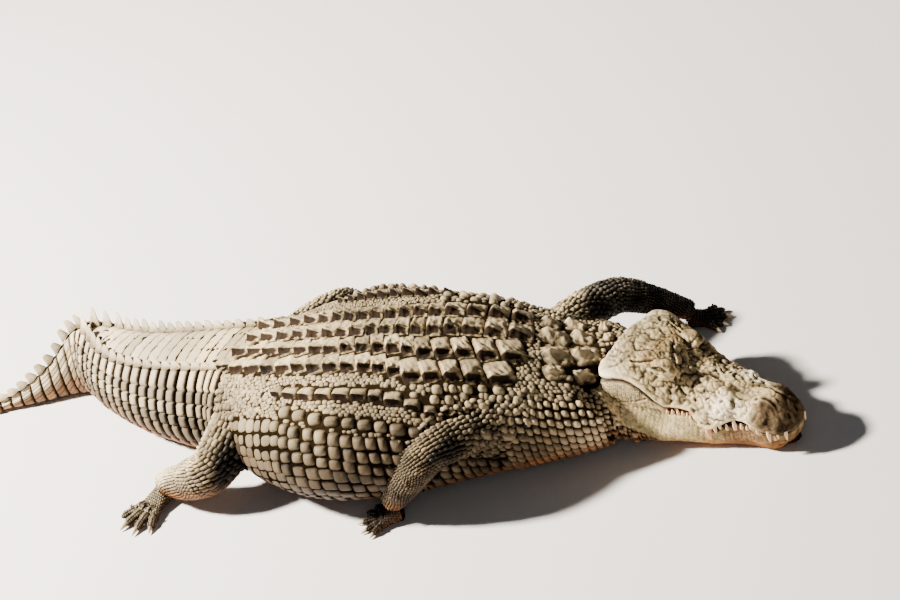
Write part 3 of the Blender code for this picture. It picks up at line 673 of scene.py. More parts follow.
def markings_and_shade(places, outward):
    """The animal's colours: straw back pale with dust, cream tail, grey flanks, rusty belly, pale head, and
    painted shade on faces turned down, on both forelegs, in the folds before the thighs and at the front of
    the jaws.
    """
    x, y, z = places[..., 0], places[..., 1], places[..., 2]
    upward = outward[..., 2]
    u, v, w = to_head(places)
    side, above = np.abs(v), w - mouth_height(u)
    head = head_share(u, v, w)
    tail = ease(-x, 0.45, 0.85)
    neck = ease(x, 0.45, 0.56) * (1 - head) * ease(-upward, -0.7, -0.3)
    far_arm = ease(y - 0.55 * (0.45 - x), 0.30, 0.36) * ease(x, 0.40, 0.46) * (1 - head)
    near_arm = ease(-y, 0.20, 0.27) * ease(0.24 - np.abs(x - 0.14), 0, 0.03)
    fold = ease(-upward, -0.85, -0.45) * 0.85
    colour = layered(
        paint(172, 154, 122) + 0 * places,
        (200, 182, 146, ease(upward, 0.35, 0.95) * 0.7),
        (128, 114, 92, ease(-upward, -0.75, -0.45) * 0.7),
        # painted shade: dark brown on faces turned steeply sideways and down
        (98, 82, 62, ease(-upward, -0.40, 0.0) * 0.8),
        (206, 191, 162, tail * ease(upward, -0.2, 0.6)),
        (180, 158, 128, tail * ease(-upward, -0.1, 0.5)),
        (222, 200, 168, neck * 0.95),
        # painted shade on the far foreleg
        (104, 96, 84, far_arm),
        # painted shade on the near foreleg, deepest near the floor
        (98, 82, 64, near_arm * (0.5 + 0.5 * ease(-z, -0.14, -0.06))),
        # painted shadow in the folds in front of the thighs, on faces turned sideways
        (52, 42, 32, thigh_fold_shadow("right_hind", places) * fold),
        (52, 42, 32, thigh_fold_shadow("left_hind", places) * fold),
    )
    # head: straw with olive and brown, creamy lips, a dark snout tip with painted shade on its front, rusty
    # chin, and a stained lower jaw front also darkened as painted shade under the upper jaw
    over_lip = ease(above, 0.005, 0.03)
    bone = layered(
        paint(206, 186, 146) + 0 * places,
        (170, 150, 112, ease(above, 0.02, 0.06) * 0.55),
        (120, 108, 82, ease(upward, 0.55, 0.95) * ease(u, 0.26, 0.34) * 0.55),
        (112, 100, 72, np.clip(mottle(places, 0.024, 11) * 1.5 - 0.35, 0, 1) * 0.8 * over_lip),
        (88, 74, 54, np.clip(mottle(places, 0.012, 12) * 1.6 - 0.75, 0, 1) * 0.8 * over_lip),
        (236, 224, 196, bell(u, 0.165, 0.050) * ease(side, 0.025, 0.06) * ease(w, 0.085, 0.11) * 0.85),
        (228, 214, 186, bell(u, 0.500, 0.040) * bell(w, 0.214, 0.018)),
        (150, 140, 118, bell(u, 0.450, 0.055, 4) * bell(w, 0.170, 0.022, 4) * 0.85),
        # dark snout tip, with painted shade on its front face
        (54, 38, 28, ease(-u, -0.112, -0.060) * ease(w, 0.066, 0.082) * 0.88),
        (196, 172, 130, bell(u, 0.066, 0.018) * bell(side, 0, 0.018) * ease(w, 0.14, 0.15) * 0.7),
        (84, 70, 52, bell(u, 0.085, 0.020) * bell(w, 0.128, 0.016) * 0.7),
        (120, 96, 60, bell(u, 0.395, 0.022) * bell(w, 0.240, 0.012) * 0.6),
        (190, 170, 128, ease(-above, 0.0, 0.02) * 0.6),
        (150, 140, 100, ease(-above, 0.01, 0.04) * np.clip(mottle(places, 0.05, 13), 0, 1) * 0.7),
        (176, 120, 70, ease(-w, -0.050, -0.018) * 0.9),
        # front of the lower jaw: stained, and painted shade under the upper jaw
        (104, 70, 46, ease(-above, 0.0, 0.010) * ease(-u, -0.25, -0.16) * 0.80),
    )
    bone = bone * (1 + 0.38 * mottle(places, 0.014, 14) * ease(-u, -0.13, -0.07))[..., None]
    colour = blend_paint(colour, bone, head)
    # belly and everything near the floor is rusty
    low = ease(-z, -0.115, -0.045) * (1 - head) * ease(-upward, -0.35, 0.05) * (1 - 0.4 * ease(-x, 0.8, 1.2))
    colour = layered(colour, (150, 98, 58, low * 0.85))
    patchy = 0.68 + 0.10 * head + 0.11 * mottle(places, 0.12, 3) + 0.08 * mottle(places, 0.035, 5)
    return np.clip(colour * patchy[..., None] * (1.02, 0.97, 0.90), 0, 1)


def colour_mesh(mesh, colour, rise):
    """Stores each point's colour, and how high it stands in its scale, lowered where shade is painted, for
    the materials to read.
    """
    shade = mesh.attributes.new("colour", "FLOAT_COLOR", "POINT")
    opaque = np.concatenate([colour, np.ones((len(colour), 1))], 1)
    shade.data.foreach_set("color", opaque.astype(np.float32).ravel())
    stand = mesh.attributes.new("rise", "FLOAT", "POINT")
    stand.data.foreach_set("value", np.asarray(rise, np.float32))


places, outward = read_points(hide)
count = len(places)
u, v, w = to_head(places)
on_head = head_share(u, v, w)
ends = np.empty(len(hide.data.edges) * 2, np.int32)
hide.data.edges.foreach_get("vertices", ends)
ends = np.concatenate([ends.reshape(-1, 2), ends.reshape(-1, 2)[:, ::-1]])
near_count = np.bincount(ends[:, 0], minlength=count)[:, None]


def hollow(rounds):
    """How far each point of the hide lies below its surroundings, some edges round."""
    even = places
    for _ in range(rounds):
        sums = [np.bincount(ends[:, 0], even[ends[:, 1], k], count) for k in range(3)]
        even = np.stack(sums, 1) / near_count
    return ((even - places) * outward).sum(1)


# The hollows of the head are darkened with dirt and painted shade, and the hide between scales is nearly
# black
hollow_dirt_and_shade = np.clip(hollow(14) / 0.0015, -0.5, 1) * 0.60 + np.clip(hollow(3) / 0.0004, -0.4, 1) * 0.22
colour = markings_and_shade(places, outward) * (1 - hollow_dirt_and_shade * on_head)[:, None]
colour = blend_paint(colour, colour * (0.055, 0.046, 0.036), 1 - on_head)
# Painted shade along the mouth line, in the openings of the mouth and in the fold between the jaws and the
# neck. The rear opening is dark red: flesh colour darkened as painted shade.
mouth_away, _ = off_line(MOUTH_LINE, np.stack([u, w], 1))
rear_gap, front_gap = mouth_gaps(u, v, w, 0.0060)
fold = band(behind_jaws(u, w), -0.004, 0.006, 0.03, 0.05) * (np.abs(v) < 0.21) * (w < 0.235)
colour = layered(colour, (44, 30, 22, on_head * bell(mouth_away, 0, 0.004) * (np.abs(v) > 0.015) * 0.9),
                 (96, 30, 22, on_head * rear_gap), (40, 22, 16, on_head * front_gap * 0.92),
                 (34, 26, 20, fold * 0.9))
# Painted shade in the slit of the ear flap and the crease behind the eye
for _, _, line in (EAR_FLAP, BEHIND_EYE):
    away, _ = off_line(np.array([line[0], line[-1]]), np.stack([u, np.abs(v), w], 1))
    colour = layered(colour, (40, 28, 20, on_head * bell(away, 0, 0.0042, 4) * 0.85))
# Painted shade in the slit between the lids, with a brown upper lid and a pale lower lid
for sign in (-1, 1):
    from_eye, in_front, y, ring = eye_opening(places, sign)
    close = (np.linalg.norm(from_eye, axis=1) < 0.045) & (in_front > 0)
    colour = layered(colour, (34, 24, 16, close * (1 - ease(ring, 1.05, 1.5)) * 0.97),
                     (126, 98, 62, close * bell(ring, 2.0, 0.7) * (y > 0) * 0.6),
                     (216, 200, 168, close * bell(ring, 1.6, 0.3) * (y < 0) * 0.6))
colour_mesh(hide.data, colour, 0.55 + 0.10 * on_head)


def feed(tree, made, inputs):
    """Fills a node's inputs: each with a value, or with a link from (node, output)."""
    for key, value in inputs.items():
        if isinstance(value, tuple) and isinstance(value[0], bpy.types.Node):
            tree.links.new(value[0].outputs[value[1]], made.inputs[key])
        else:
            made.inputs[key].default_value = value
    return made


def node(tree, kind, inputs, **settings):
    made = tree.nodes.new(kind)
    for key, value in settings.items():
        setattr(made, key, value)
    return feed(tree, made, inputs)


def ramp(tree, source, stops):
    """A colour ramp read at source, with stops as (place, (red, green, blue))."""
    made = node(tree, "ShaderNodeValToRGB", {"Fac": source})
    first, *middle, last = stops
    bar = made.color_ramp.elements
    for stop, (place, tone) in zip(bar, (first, last)):
        stop.position, stop.color = place, (*tone, 1)
    for place, tone in middle:
        bar.new(place).color = (*tone, 1)
    return made


def new_group(name, inputs, outputs):
    """A shader node group with named inputs and outputs."""
    group = bpy.data.node_groups.new(name, "ShaderNodeTree")
    for label, kind, value in inputs:
        group.interface.new_socket(label, in_out="INPUT", socket_type=kind).default_value = value
    for label, kind in outputs:
        group.interface.new_socket(label, in_out="OUTPUT", socket_type=kind)
    return group, group.nodes.new("NodeGroupInput"), group.nodes.new("NodeGroupOutput")


# Horny grain: fine pores, growth lines and dust in the hollows, read from place on the body
NUMBER, COLOUR = "NodeSocketFloat", "NodeSocketColor"
grain, taken, given = new_group("horny_grain", [("Size", NUMBER, 220.0), ("Lines", NUMBER, 0.5)],
                                [("Blotch", NUMBER), ("Height", NUMBER)])
where = node(grain, "ShaderNodeTexCoord", {}), "Object"
pores = node(grain, "ShaderNodeTexNoise", {"Vector": where, "Scale": (taken, "Size"), "Detail": 4.0,
                                           "Roughness": 0.6})
blotch = node(grain, "ShaderNodeTexNoise", {"Vector": where, "Scale": 85.0, "Detail": 6.0, "Roughness": 0.70})
stretch = node(grain, "ShaderNodeMapping", {"Vector": where, "Rotation": (0.3, 0.2, 0.6),
                                            "Scale": (90.0, 520.0, 300.0)})
lines = node(grain, "ShaderNodeTexNoise", {"Vector": (stretch, "Vector"), "Scale": 1.0, "Detail": 2.0})
lined = node(grain, "ShaderNodeMath", {0: (lines, "Fac"), 1: (taken, "Lines")}, operation="MULTIPLY")
total = node(grain, "ShaderNodeMath", {0: (pores, "Fac"), 1: (lined, "Value")}, operation="ADD")
feed(grain, given, {"Height": (total, "Value"), "Blotch": (blotch, "Fac")})

# Wear: grooves hold dark dirt, and the tops are rubbed pale. Where a scale's rise is lowered as painted
# shade, this ramp darkens it too.
wear_and_shade, taken, given = new_group("groove_wear_and_shade",
                               [("Colour", COLOUR, (0.5, 0.5, 0.5, 1)), ("Rise", NUMBER, 0.5),
                                ("Blotch", NUMBER, 0.5)],
                               [("Colour", COLOUR), ("Rough", NUMBER)])
shifted = node(wear_and_shade, "ShaderNodeMath", {0: (taken, "Blotch"), 1: 0.58, 2: (taken, "Rise")},
               operation="MULTIPLY_ADD")
dust_and_shade = ramp(wear_and_shade, (shifted, "Value"), [(0.42, (0.035, 0.024, 0.016)), (0.68, (0.34, 0.31, 0.27)),
                                        (0.90, (0.84, 0.83, 0.80)), (1.0, (1.0, 1.0, 1.0))])
mixed = node(wear_and_shade, "ShaderNodeMix", {}, data_type="RGBA", blend_type="MULTIPLY")
feed(wear_and_shade, mixed, {"Factor": 1.0, 6: (taken, "Colour"), 7: (dust_and_shade, "Color")})
rough = node(wear_and_shade, "ShaderNodeMapRange", {"Value": (shifted, "Value"), "To Min": 0.85, "To Max": 0.42})
feed(wear_and_shade, given, {"Colour": (mixed, 2), "Rough": (rough, "Result")})


def new_look(name, inputs):
    """A material, its node tree and its surface shader with some inputs filled."""
    look = bpy.data.materials.new(name)
    look.use_nodes = True
    tree = look.node_tree
    return look, tree, feed(tree, tree.nodes["Principled BSDF"], inputs)


def hide_look(name, size=220.0, lines=0.5, relief=0.0014, gloss=0.08):
    """A horny or leathery finish whose colour comes from the markings."""
    look, tree, shader = new_look(name, {"Specular IOR Level": gloss})
    colour, rise = (node(tree, "ShaderNodeAttribute", {}, attribute_name=kind) for kind in ("colour", "rise"))
    grained = node(tree, "ShaderNodeGroup", {}, node_tree=grain)
    feed(tree, grained, {"Size": size, "Lines": lines})
    worn = node(tree, "ShaderNodeGroup", {"Colour": (colour, "Color"), "Rise": (rise, "Fac"),
                                          "Blotch": (grained, "Blotch")}, node_tree=wear_and_shade)
    bump = node(tree, "ShaderNodeBump", {"Distance": relief, "Strength": 0.8, "Height": (grained, "Height")})
    feed(tree, shader, {"Base Color": (worn, "Colour"), "Roughness": (worn, "Rough"),
                        "Normal": (bump, "Normal")})
    return look


hide.data.materials.clear()
hide.data.materials.append(hide_look("bare_hide", 300.0, 0.15, 0.0016, 0.0))
hide.data.polygons.foreach_set("use_smooth", [True] * len(hide.data.polygons))
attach(hide, "root")
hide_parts(*[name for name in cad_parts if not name.startswith("eye")])


# ---------------------------------------------------------------- eyes
# Each eye is a glossy glass ball, set in its socket behind nearly shut lids: olive gold round a narrow
# upright pupil, brown at the rim, with fine flecks in the iris.
eye_look, tree, shader = new_look("eye_glass", {"Roughness": 0.12, "Coat Weight": 0.6})
ring_at = node(tree, "ShaderNodeAttribute", {}, attribute_name="from_pupil")
iris = ramp(tree, (ring_at, "Fac"), [(0.08, (0.004, 0.004, 0.003)), (0.16, (0.13, 0.09, 0.025)),
                                     (0.5, (0.08, 0.06, 0.02)), (0.9, (0.05, 0.035, 0.015))])
place_in = node(tree, "ShaderNodeTexCoord", {})
flecks = node(tree, "ShaderNodeTexNoise", {"Vector": (place_in, "Object"), "Scale": 900.0, "Detail": 3.0})
flecked = node(tree, "ShaderNodeMix", {}, data_type="RGBA", blend_type="OVERLAY")
feed(tree, flecked, {"Factor": 0.5, 6: (iris, "Color"), 7: (flecks, "Color")})
feed(tree, shader, {"Base Color": (flecked, 2)})
for name, sign in (("eye_left", 1), ("eye_right", -1)):
    centre, facing, over = eye_axes(sign)
    radius = EYE_RADIUS - 0.0012
    down = np.linspace(0.01, pi - 0.01, 33)[:, None]
    ball = rings(centre + radius * facing * np.cos(down), radius * over * np.sin(down),
                 radius * -HEAD_FORWARD * np.sin(down), 49)
    eyeball = new_piece("eyeball_" + name[4:], *closed_tube(ball))
    around = np.linspace(-pi, pi, 49)[:-1]
    from_pupil = np.hypot(np.sin(down) * np.cos(around) * 2.6, np.sin(down) * np.sin(around) * 0.55)
    from_pupil += np.cos(down) < 0
    stored = eyeball.data.attributes.new("from_pupil", "FLOAT", "POINT")
    stored.data.foreach_set("value", np.clip(from_pupil, 0, 1).astype(np.float32).ravel())
    eyeball.data.materials.append(eye_look)
    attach(eyeball, "root")
    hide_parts(name)


# ---------------------------------------------------------------- back shield
# Rows of bony plates under horn, each with a sharp keel that rises towards the tail. They lie edge to edge in
# the hide, four across the back, and are drawn back a little down the sides.
coat_look = hide_look("scale_horn", 240.0, 0.9, 0.0010)
PATCH = 0.0015      # half the size of a scale's own patch on the chart


class Coat:
    """Scales of one group, gathered into one mesh. Each starts from a root on a sheet of hide."""

    def __init__(self, name, slot="body_skin"):
        self.name, self.slot = name, slot
        self.verts, self.faces, self.colour, self.rise, self.patch = [], [], [], [], []
        self.count = 0

    def seat(self, sheet, along, around):
        """How far the hide really lies below the sheet at each root, and which roots have hide under them."""
        roots, outward = sheet.at(along, around)
        depth = np.full(len(along), np.nan)
        above, farthest = 0.03, 0.046 if sheet is BODY else 0.022
        for k, (root, out) in enumerate(zip(roots, outward)):
            hit, normal, _, away = hide_tree.ray_cast(Vector(root + out * above), -Vector(out), 0.09)
            if hit is None or normal.dot(Vector(out)) <= 0.10:
                continue
            if sheet is BODY and (head_share(*to_head(np.array(hit))) > 0.5
                                  or any((np.linalg.norm(line - hit, axis=1) < girth * 0.96).any()
                                         for line, girth in leg_line.values())):
                continue        # the head and the legs have scales of their own
            depth[k] = away - above
        return roots, outward, depth, depth < farthest

    def lay(self, sheet, along, around, long, wide, high, keel=0.0, turn=0.0, form=(5, 5), square=3.0,
            dome=2.5, keel_width=0.55, peak=0.55, sink=0.002, uneven=0.10, seed=1, tone=1.0, spread=1.10,
            bulge=0.0, rugged=0.0, soot=1.0, crest_at=0.0, steep=1.0, joint=1.0):
        """Lays scales at roots on a sheet: half length, half width, height, keel height and turn of each.
        form is points along and across a scale, square and dome shape its outline and its crown, and peak
        is where along it the keel is highest. crest_at shifts the keel sideways, steep narrows its far face.
        bulge swells it crosswise, joint is how far its side edges sink, and soot how much its grooves and its
        painted shade, on the steep face of a keel and the front of a tail ring, are darkened."""
        numbers = np.broadcast_arrays(along, around, long, wide, high, keel, turn, tone, soot)
        numbers = np.array(numbers, float)
        count = numbers.shape[1]
        chance = np.random.default_rng(seed)
        numbers[2:6] *= 1 + uneven * chance.uniform(-1, 1, (4, count))
        numbers[2:4] *= spread
        numbers[6] += uneven * 0.6 * chance.uniform(-1, 1, count)
        bright = 1 + 0.16 * chance.normal(0, 1, count).clip(-2, 2)
        roots, outward, depth, good = self.seat(sheet, *numbers[:2])
        numbers = np.concatenate([numbers, [bright, depth]])[:, good, None]
        along, around, long, wide, high, keel, turn, tone, soot, bright, depth = numbers
        rows, columns = form
        x = np.repeat(np.linspace(-1, 1, rows), columns)
        y = np.linspace(-1, 1, columns)
        y = np.sign(y) * np.abs(y) ** (1.5 if columns > 8 else 1)
        y = np.tile(y + crest_at * (1 - y**2), rows)
        reach = np.maximum(np.abs(x), np.abs(y))
        shape = (np.abs(x) ** square + np.abs(y) ** square) ** (1 / square)
        pull = np.where(shape > 0, reach / np.maximum(shape, 1e-9), 1)
        x, y = x * pull, y * pull
        inside = reach < 0.999
        ridge = 1 - np.abs(y - crest_at) / np.where(y < crest_at, keel_width * steep, keel_width)
        ridge = np.clip(ridge, 0, 1) ** 1.1
        climb = np.clip((x + 0.95) / (peak + 0.95), 0, 1) ** 1.1 * (1 - 0.75 * ease(x, peak, 0.98))
        lift = high * (1 - reach**dome) + keel * ridge * climb
        lift = lift + bulge * (1 - np.abs(x - 0.12 * (1 - x**2)) ** 3.6)
        lift = np.where(inside, lift, -sink + (1 - joint) * (lift + sink) * (np.abs(x) < 0.999))
        places, out = sheet.at(along + long * x * np.cos(turn) - wide * y * np.sin(turn),
                               around + long * x * np.sin(turn) + wide * y * np.cos(turn))
        worn = np.maximum(np.abs(x), np.abs(y) * (0.55 + 0.45 * joint))
        rise = np.interp(worn, [0.0, 0.5, 0.75, 0.9, 1.0], [0.72, 0.66, 0.48, 0.26, 0.06])
        rise = rise + 0.26 * (keel > 0) * ridge * climb
        # Dark grooves at both ends of a ring, and painted shade on the side of each ring that faces the head
        if bulge:
            rise = rise * (1 - 0.95 * np.abs(x) ** 3.4 - 0.55 * ease(-x, 0.38, 0.85))
        # Painted shade on the steep face of a keel: its rise is lowered, so the wear ramp darkens it
        if steep < 1:
            rise = rise - 1.05 * band(crest_at - y, 0.0, 0.08, 0.40, 0.62) * ease(climb, 0.10, 0.45)
        if rugged:
            knobs = (0.6 - np.abs(mottle(places, 0.011, 33)) * 1.7 + 0.5 * mottle(places, 0.005, 34)) * inside
            lift = lift + rugged * knobs
            rise = rise + 0.16 * knobs
        places = places + out * (lift - depth)[..., None]
        places[..., 2] = np.maximum(places[..., 2], 0.0)
        colour = markings_and_shade(roots[good], outward[good])[:, None] * (tone * bright)[..., None] + 0 * places
        chart = (along / sheet.along[-1], (around / sheet.half_girth(along) + 1) / 2)
        patch = np.stack([part * 0.98 + 0.01 + PATCH * grid for part, grid in zip(chart, (x, y))], -1)
        self.add(places, colour, 0.78 - (0.78 - rise) * soot + 0 * lift, patch, form)

    def add(self, places, colour, rise, patch, form):
        """Adds scales, each a grid of points of that form."""
        rows, columns = form
        scales, points = places.shape[:2]
        corner = (np.arange(rows - 1)[:, None] * columns + np.arange(columns - 1)).ravel()
        quads = np.stack([corner, corner + 1, corner + columns + 1, corner + columns], 1)
        first_points = self.count + points * np.arange(scales)
        self.faces.append((quads[None] + first_points[:, None, None]).reshape(-1, 4))
        self.verts.append(places.reshape(-1, 3))
        self.colour.append(colour.reshape(-1, 3))
        self.rise.append(rise.reshape(-1))
        self.patch.append(patch.reshape(-1, 2))
        self.count += scales * points

    def add_one(self, places, colour, rise, chart):
        """Adds one fin, claw or tooth from a grid of places, and its patch on the chart."""
        rows, columns = places.shape[:2]
        x = np.linspace(-PATCH, PATCH, rows)[:, None] + np.zeros((1, columns))
        y = np.linspace(-PATCH, PATCH, columns)[None] + np.zeros((rows, 1))
        patch = np.stack([chart[0] + x, chart[1] + y], -1)
        rise = rise + 0 * places[..., 0]
        self.add(places.reshape(1, -1, 3), colour + 0 * places, rise, patch, (rows, columns))

    def finish(self, look):
        piece = new_piece(self.name, np.concatenate(self.verts).tolist(), np.concatenate(self.faces).tolist())
        mesh = piece.data
        colour_mesh(mesh, np.clip(np.concatenate(self.colour), 0, 1), np.concatenate(self.rise))
        corners = np.empty(len(mesh.loops), np.int32)
        mesh.loops.foreach_get("vertex_index", corners)
        chart = mesh.uv_layers.new(name="OFBake")
        chart.data.foreach_set("uv", np.concatenate(self.patch)[corners].astype(np.float32).ravel())
        mesh.materials.append(look)
        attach(piece, "root")


placed = []     # footprints of the larger scales on the body: along, around, half length, half width


def claim(*footprint):
    placed.extend(zip(*(part.ravel().tolist() for part in np.broadcast_arrays(*footprint))))


def middle_line(along):
    """Where the middle of the back lies: the trunk is rolled a little towards its right side."""
    return np.interp(along, [0.0, 0.15, 0.3, 0.5, 0.62, 0.9, 1.12],
                     [0.0, -0.010, -0.028, -0.038, -0.022, -0.015, 0.0])


def drawn_back(around):
    return 0.35 * np.clip(-0.015 - around, 0, 0.20)


back = Coat("back_scutes")
ROWS = np.array([0.290, 0.352, 0.412, 0.465, 0.513, 0.557, 0.600, 0.642, 0.684, 0.727, 0.770, 0.814, 0.861,
                 0.912, 0.970, 1.034, 1.100])
row_half = np.gradient(ROWS) / 2
inner = np.interp(ROWS, [0.3, 0.5, 0.62, 0.9, 1.1], [0.044, 0.046, 0.035, 0.034, 0.030])
outer = np.interp(ROWS, [0.3, 0.5, 0.62, 0.9, 1.0, 1.1], [0.126, 0.128, 0.107, 0.100, 0.093, 0.088])
for side in (-1, 1):
    for offset, share, keel, seed in ((inner, 0.51, 0.019, 50), (outer, 0.50, 0.0225, 53)):
        around = middle_line(ROWS) + side * offset
        along = ROWS + drawn_back(around)
        half = (outer - inner) * share
        back.lay(BODY, along, around, row_half, half, 0.0040, keel, turn=-0.30 * (side < 0), form=(19, 19),
                 square=9, dome=9, spread=1.06, rugged=0.0023, keel_width=1.15, steep=0.24, crest_at=-0.34,
                 peak=0.66, soot=0.75, joint=0.7, tone=1.16, seed=seed + 7 * side)
        claim(along, around, row_half, half)
back.finish(coat_look)


# ---------------------------------------------------------------- neck shield
# Six large rugged plates of bone and horn stand up from the neck behind the head, in two rows, with a row of
# four small ones close behind the skull. Each has its own root in the hide.
nape = Coat("neck_shield")
# along, offset, half length, half width, keel
NAPE_PLATES = [(0.135, 0.038, 0.034, 0.036, 0.020), (0.205, 0.040, 0.035, 0.038, 0.022),
               (0.150, 0.104, 0.030, 0.030, 0.018), (0.215, 0.106, 0.026, 0.027, 0.016),
               (0.066, 0.032, 0.016, 0.022, 0.010), (0.074, 0.084, 0.016, 0.020, 0.012)]
for along, offset, long, wide, keel in NAPE_PLATES:
    for side in (-1, 1):
        around = float(middle_line(along)) + side * offset
        nape.lay(BODY, [along], [around], long, wide, 0.006, keel, form=(19, 19), square=3.2, dome=5,
                 keel_width=0.6, rugged=0.0026, spread=1.15, turn=0.25 * side, uneven=0.12, tone=1.20,
                 seed=int(along * 1000) + side)
        claim(along, around, long, wide)
nape.finish(coat_look)


# ---------------------------------------------------------------- flanks
# Below the back shield runs a strip of granules, then large keeled plates, another strip, domed plates,
# and neat rows of plates that flatten towards the belly. All of these are horn over loose hide.
flank = Coat("flank_scutes")
for side in (-1, 1):
    along = np.arange(0.500, 0.90, 0.0405)
    offset = np.interp(along, [0.5, 0.58, 0.65, 0.8, 0.9], [0.248, 0.222, 0.213, 0.203, 0.188])
    size = np.interp(along, [0.5, 0.6, 0.8, 0.9], [0.85, 1.1, 1.0, 0.75])
    around = middle_line(along) + side * offset
    flank.lay(BODY, along + drawn_back(around) * 0.3, around, 0.0180 * size, 0.0205 * size, 0.005,
              0.018 * size, form=(13, 13), square=4.5, dome=4, keel_width=1.2, steep=0.4, crest_at=-0.25,
              peak=0.6, rugged=0.0008, tone=1.06, seed=41 + side)
    claim(along, around, 0.0185 * size, 0.021 * size)
    along = np.arange(0.56, 0.87, 0.036)
    offset = np.interp(along, [0.56, 0.65, 0.76, 0.86], [0.316, 0.303, 0.285, 0.252])
    around = middle_line(along) + side * offset
    flank.lay(BODY, along, around, 0.0150, 0.0172, 0.0105, 0.005, form=(10, 11), square=2.5, dome=2.2,
              keel_width=0.9, tone=0.70, seed=51 + side)
    claim(along, around, 0.0155, 0.018)
chance = np.random.default_rng(43)
for side in (-1, 1):
    along = np.repeat(np.arange(0.300, 0.520, 0.040), 4) + chance.uniform(-0.009, 0.009, 24)
    offset = np.tile([0.185, 0.225, 0.265, 0.305], 6) + chance.uniform(-0.010, 0.010, 24)
    around = middle_line(along) + side * offset
    size = chance.uniform(0.009, 0.0165, 24)
    flank.lay(BODY, along, around, size, size * 1.05, size * 0.50, size * 0.35, form=(9, 9), square=2.3,
              dome=2.1, keel_width=0.9, tone=0.98, seed=56 + side)
    claim(along, around, size, size)
flank.finish(coat_look)

belly = Coat("belly_plates")
along_rows = np.arange(0.335, 1.09, 0.0268)
first = np.interp(along_rows, [0.3, 0.45, 0.6, 0.68, 0.78, 0.86, 1.1],
                  [0.42, 0.40, 0.360, 0.352, 0.324, 0.30, 0.27])
for k in range(20):
    offset = first + 0.0385 * k
    fits = offset < BODY.half_girth(along_rows) + 0.01
    domed = np.clip(1 - k / 4.0, 0, 1)
    flat = ease(along_rows, 0.84, 0.90)[fits]
    for side in (-1, 1):
        along, around = along_rows[fits], (middle_line(along_rows) + side * offset)[fits]
        along = along + 0.0022 * np.sin(31 * along + 2.1 * k) + chance.normal(0, 0.0009, len(along))
        around = around + 0.0030 * np.sin(23 * along + 1.3 * k) + chance.normal(0, 0.0012, len(along))
        high = (0.0095 * domed + 0.0028) * (1 - 0.75 * flat)
        # The plates are painted darker row by row down the side: painted shade towards the under side.
        belly.lay(BODY, along, around, 0.0128 + 0.0006 * flat, 0.0186, high,
                  form=(8, 8) if k < 6 else (4, 4), square=3.0 if k < 3 else 5, dome=2.2 if k < 3 else 4,
                  uneven=0.15, tone=0.68 - 0.22 * ease(k, 1, 5) + 0.16 * flat, soot=1 - 0.5 * flat,
                  seed=61 + side + 3 * k)
        if k < 8:
            claim(along, around, 0.0126, 0.0182)
belly.finish(coat_look)


# ---------------------------------------------------------------- neck and throat beads
# The sides of the neck and the throat carry round to upright oval beads of horn, set in the hide in courses
# with dark skin between them.
beads = Coat("throat_beads")
for j, along_at in enumerate(np.arange(0.004, 0.345, 0.0170)):
    half = float(BODY.half_girth(along_at))
    offset = np.arange(0.160 if along_at < 0.05 else 0.205, half, 0.0262) + 0.006 * (j % 2)
    low = ease(offset, 0.22, 0.32)
    for side in (-1, 1):
        around = float(middle_line(along_at)) + side * offset
        beads.lay(BODY, along_at, around, 0.0078 + 0.0012 * low, 0.0108 + 0.0032 * low, 0.0078, form=(8, 8),
                  square=2.4, dome=2.0, uneven=0.08, tone=1.16, seed=71 + j + side)
        claim(along_at, around, 0.0070, 0.0115)
beads.finish(coat_look)


# ---------------------------------------------------------------- tail whorls
# Rings of horn plates go all round the tail: one flat plate on top of each ring, tall ones down the sides and
# broad ones below. They are fixed in the hide, which shows as dark grooves between rings.
tail = Coat("tail_whorls")
CREST_START, BEND = 1.12, 1.79      # where the paired crest starts, and where it becomes single
ROOT_PITCH, TIP_PITCH = 0.0372, 0.0349
ROOT_RINGS, TIP_RINGS = 18, 19
PLATE_EDGES = np.array([0.02, 0.155, 0.235, 0.32, 0.40, 0.53, 0.65, 0.77, 0.88, 1.0])
PLATE_TONES = np.array([1.08, 0.66, 1.02, 0.60, 0.86, 0.78, 0.74, 0.70, 0.66])


def crest_offset(along):
    """How far each row of the crest stands from the middle of the tail."""
    return float(np.interp(along, [1.12, 1.3, 1.45, 1.6, 1.7, 1.79, 2.5],
                           [0.100, 0.092, 0.084, 0.072, 0.05, 0.012, 0.0]))


ring_at = np.concatenate([CREST_START + ROOT_PITCH * (np.arange(ROOT_RINGS) + 0.5),
                          BEND + TIP_PITCH * (np.arange(TIP_RINGS) + 0.5)])
for k, along_at in enumerate(ring_at):
    half = float(BODY.half_girth(along_at))
    ridge = crest_offset(along_at)
    size = min(1, half / 0.51)
    edges = ridge + (half - ridge) * PLATE_EDGES
    centre, wide = (edges[1:] + edges[:-1]) / 2, (edges[1:] - edges[:-1]) / 2
    long = (0.0186 if along_at < BEND else 0.0174) * 0.95
    bleached = ease(along_at, BEND, BEND + 0.14)
    for side in (-1, 1):
        tail.lay(BODY, along_at, side * centre, long, wide, 0.0016 * size, form=(12, 8), square=14, dome=8,
                 spread=1.0, bulge=0.0115 * size, uneven=0.02, sink=0.004, joint=0.35,
                 soot=1 - 0.55 * bleached, tone=PLATE_TONES * (1 + 0.25 * bleached),
                 seed=200 + 2 * k + side)
    if ridge > 0.02:
        tail.lay(BODY, [along_at], [0.0], long * 1.02, ridge * 0.94, 0.0016, form=(11, 25), square=12, dome=6,
                 spread=1.06, uneven=0.05, sink=0.001, rugged=0.0010, soot=0.36, tone=1.08, seed=300 + k)
tail.finish(coat_look)


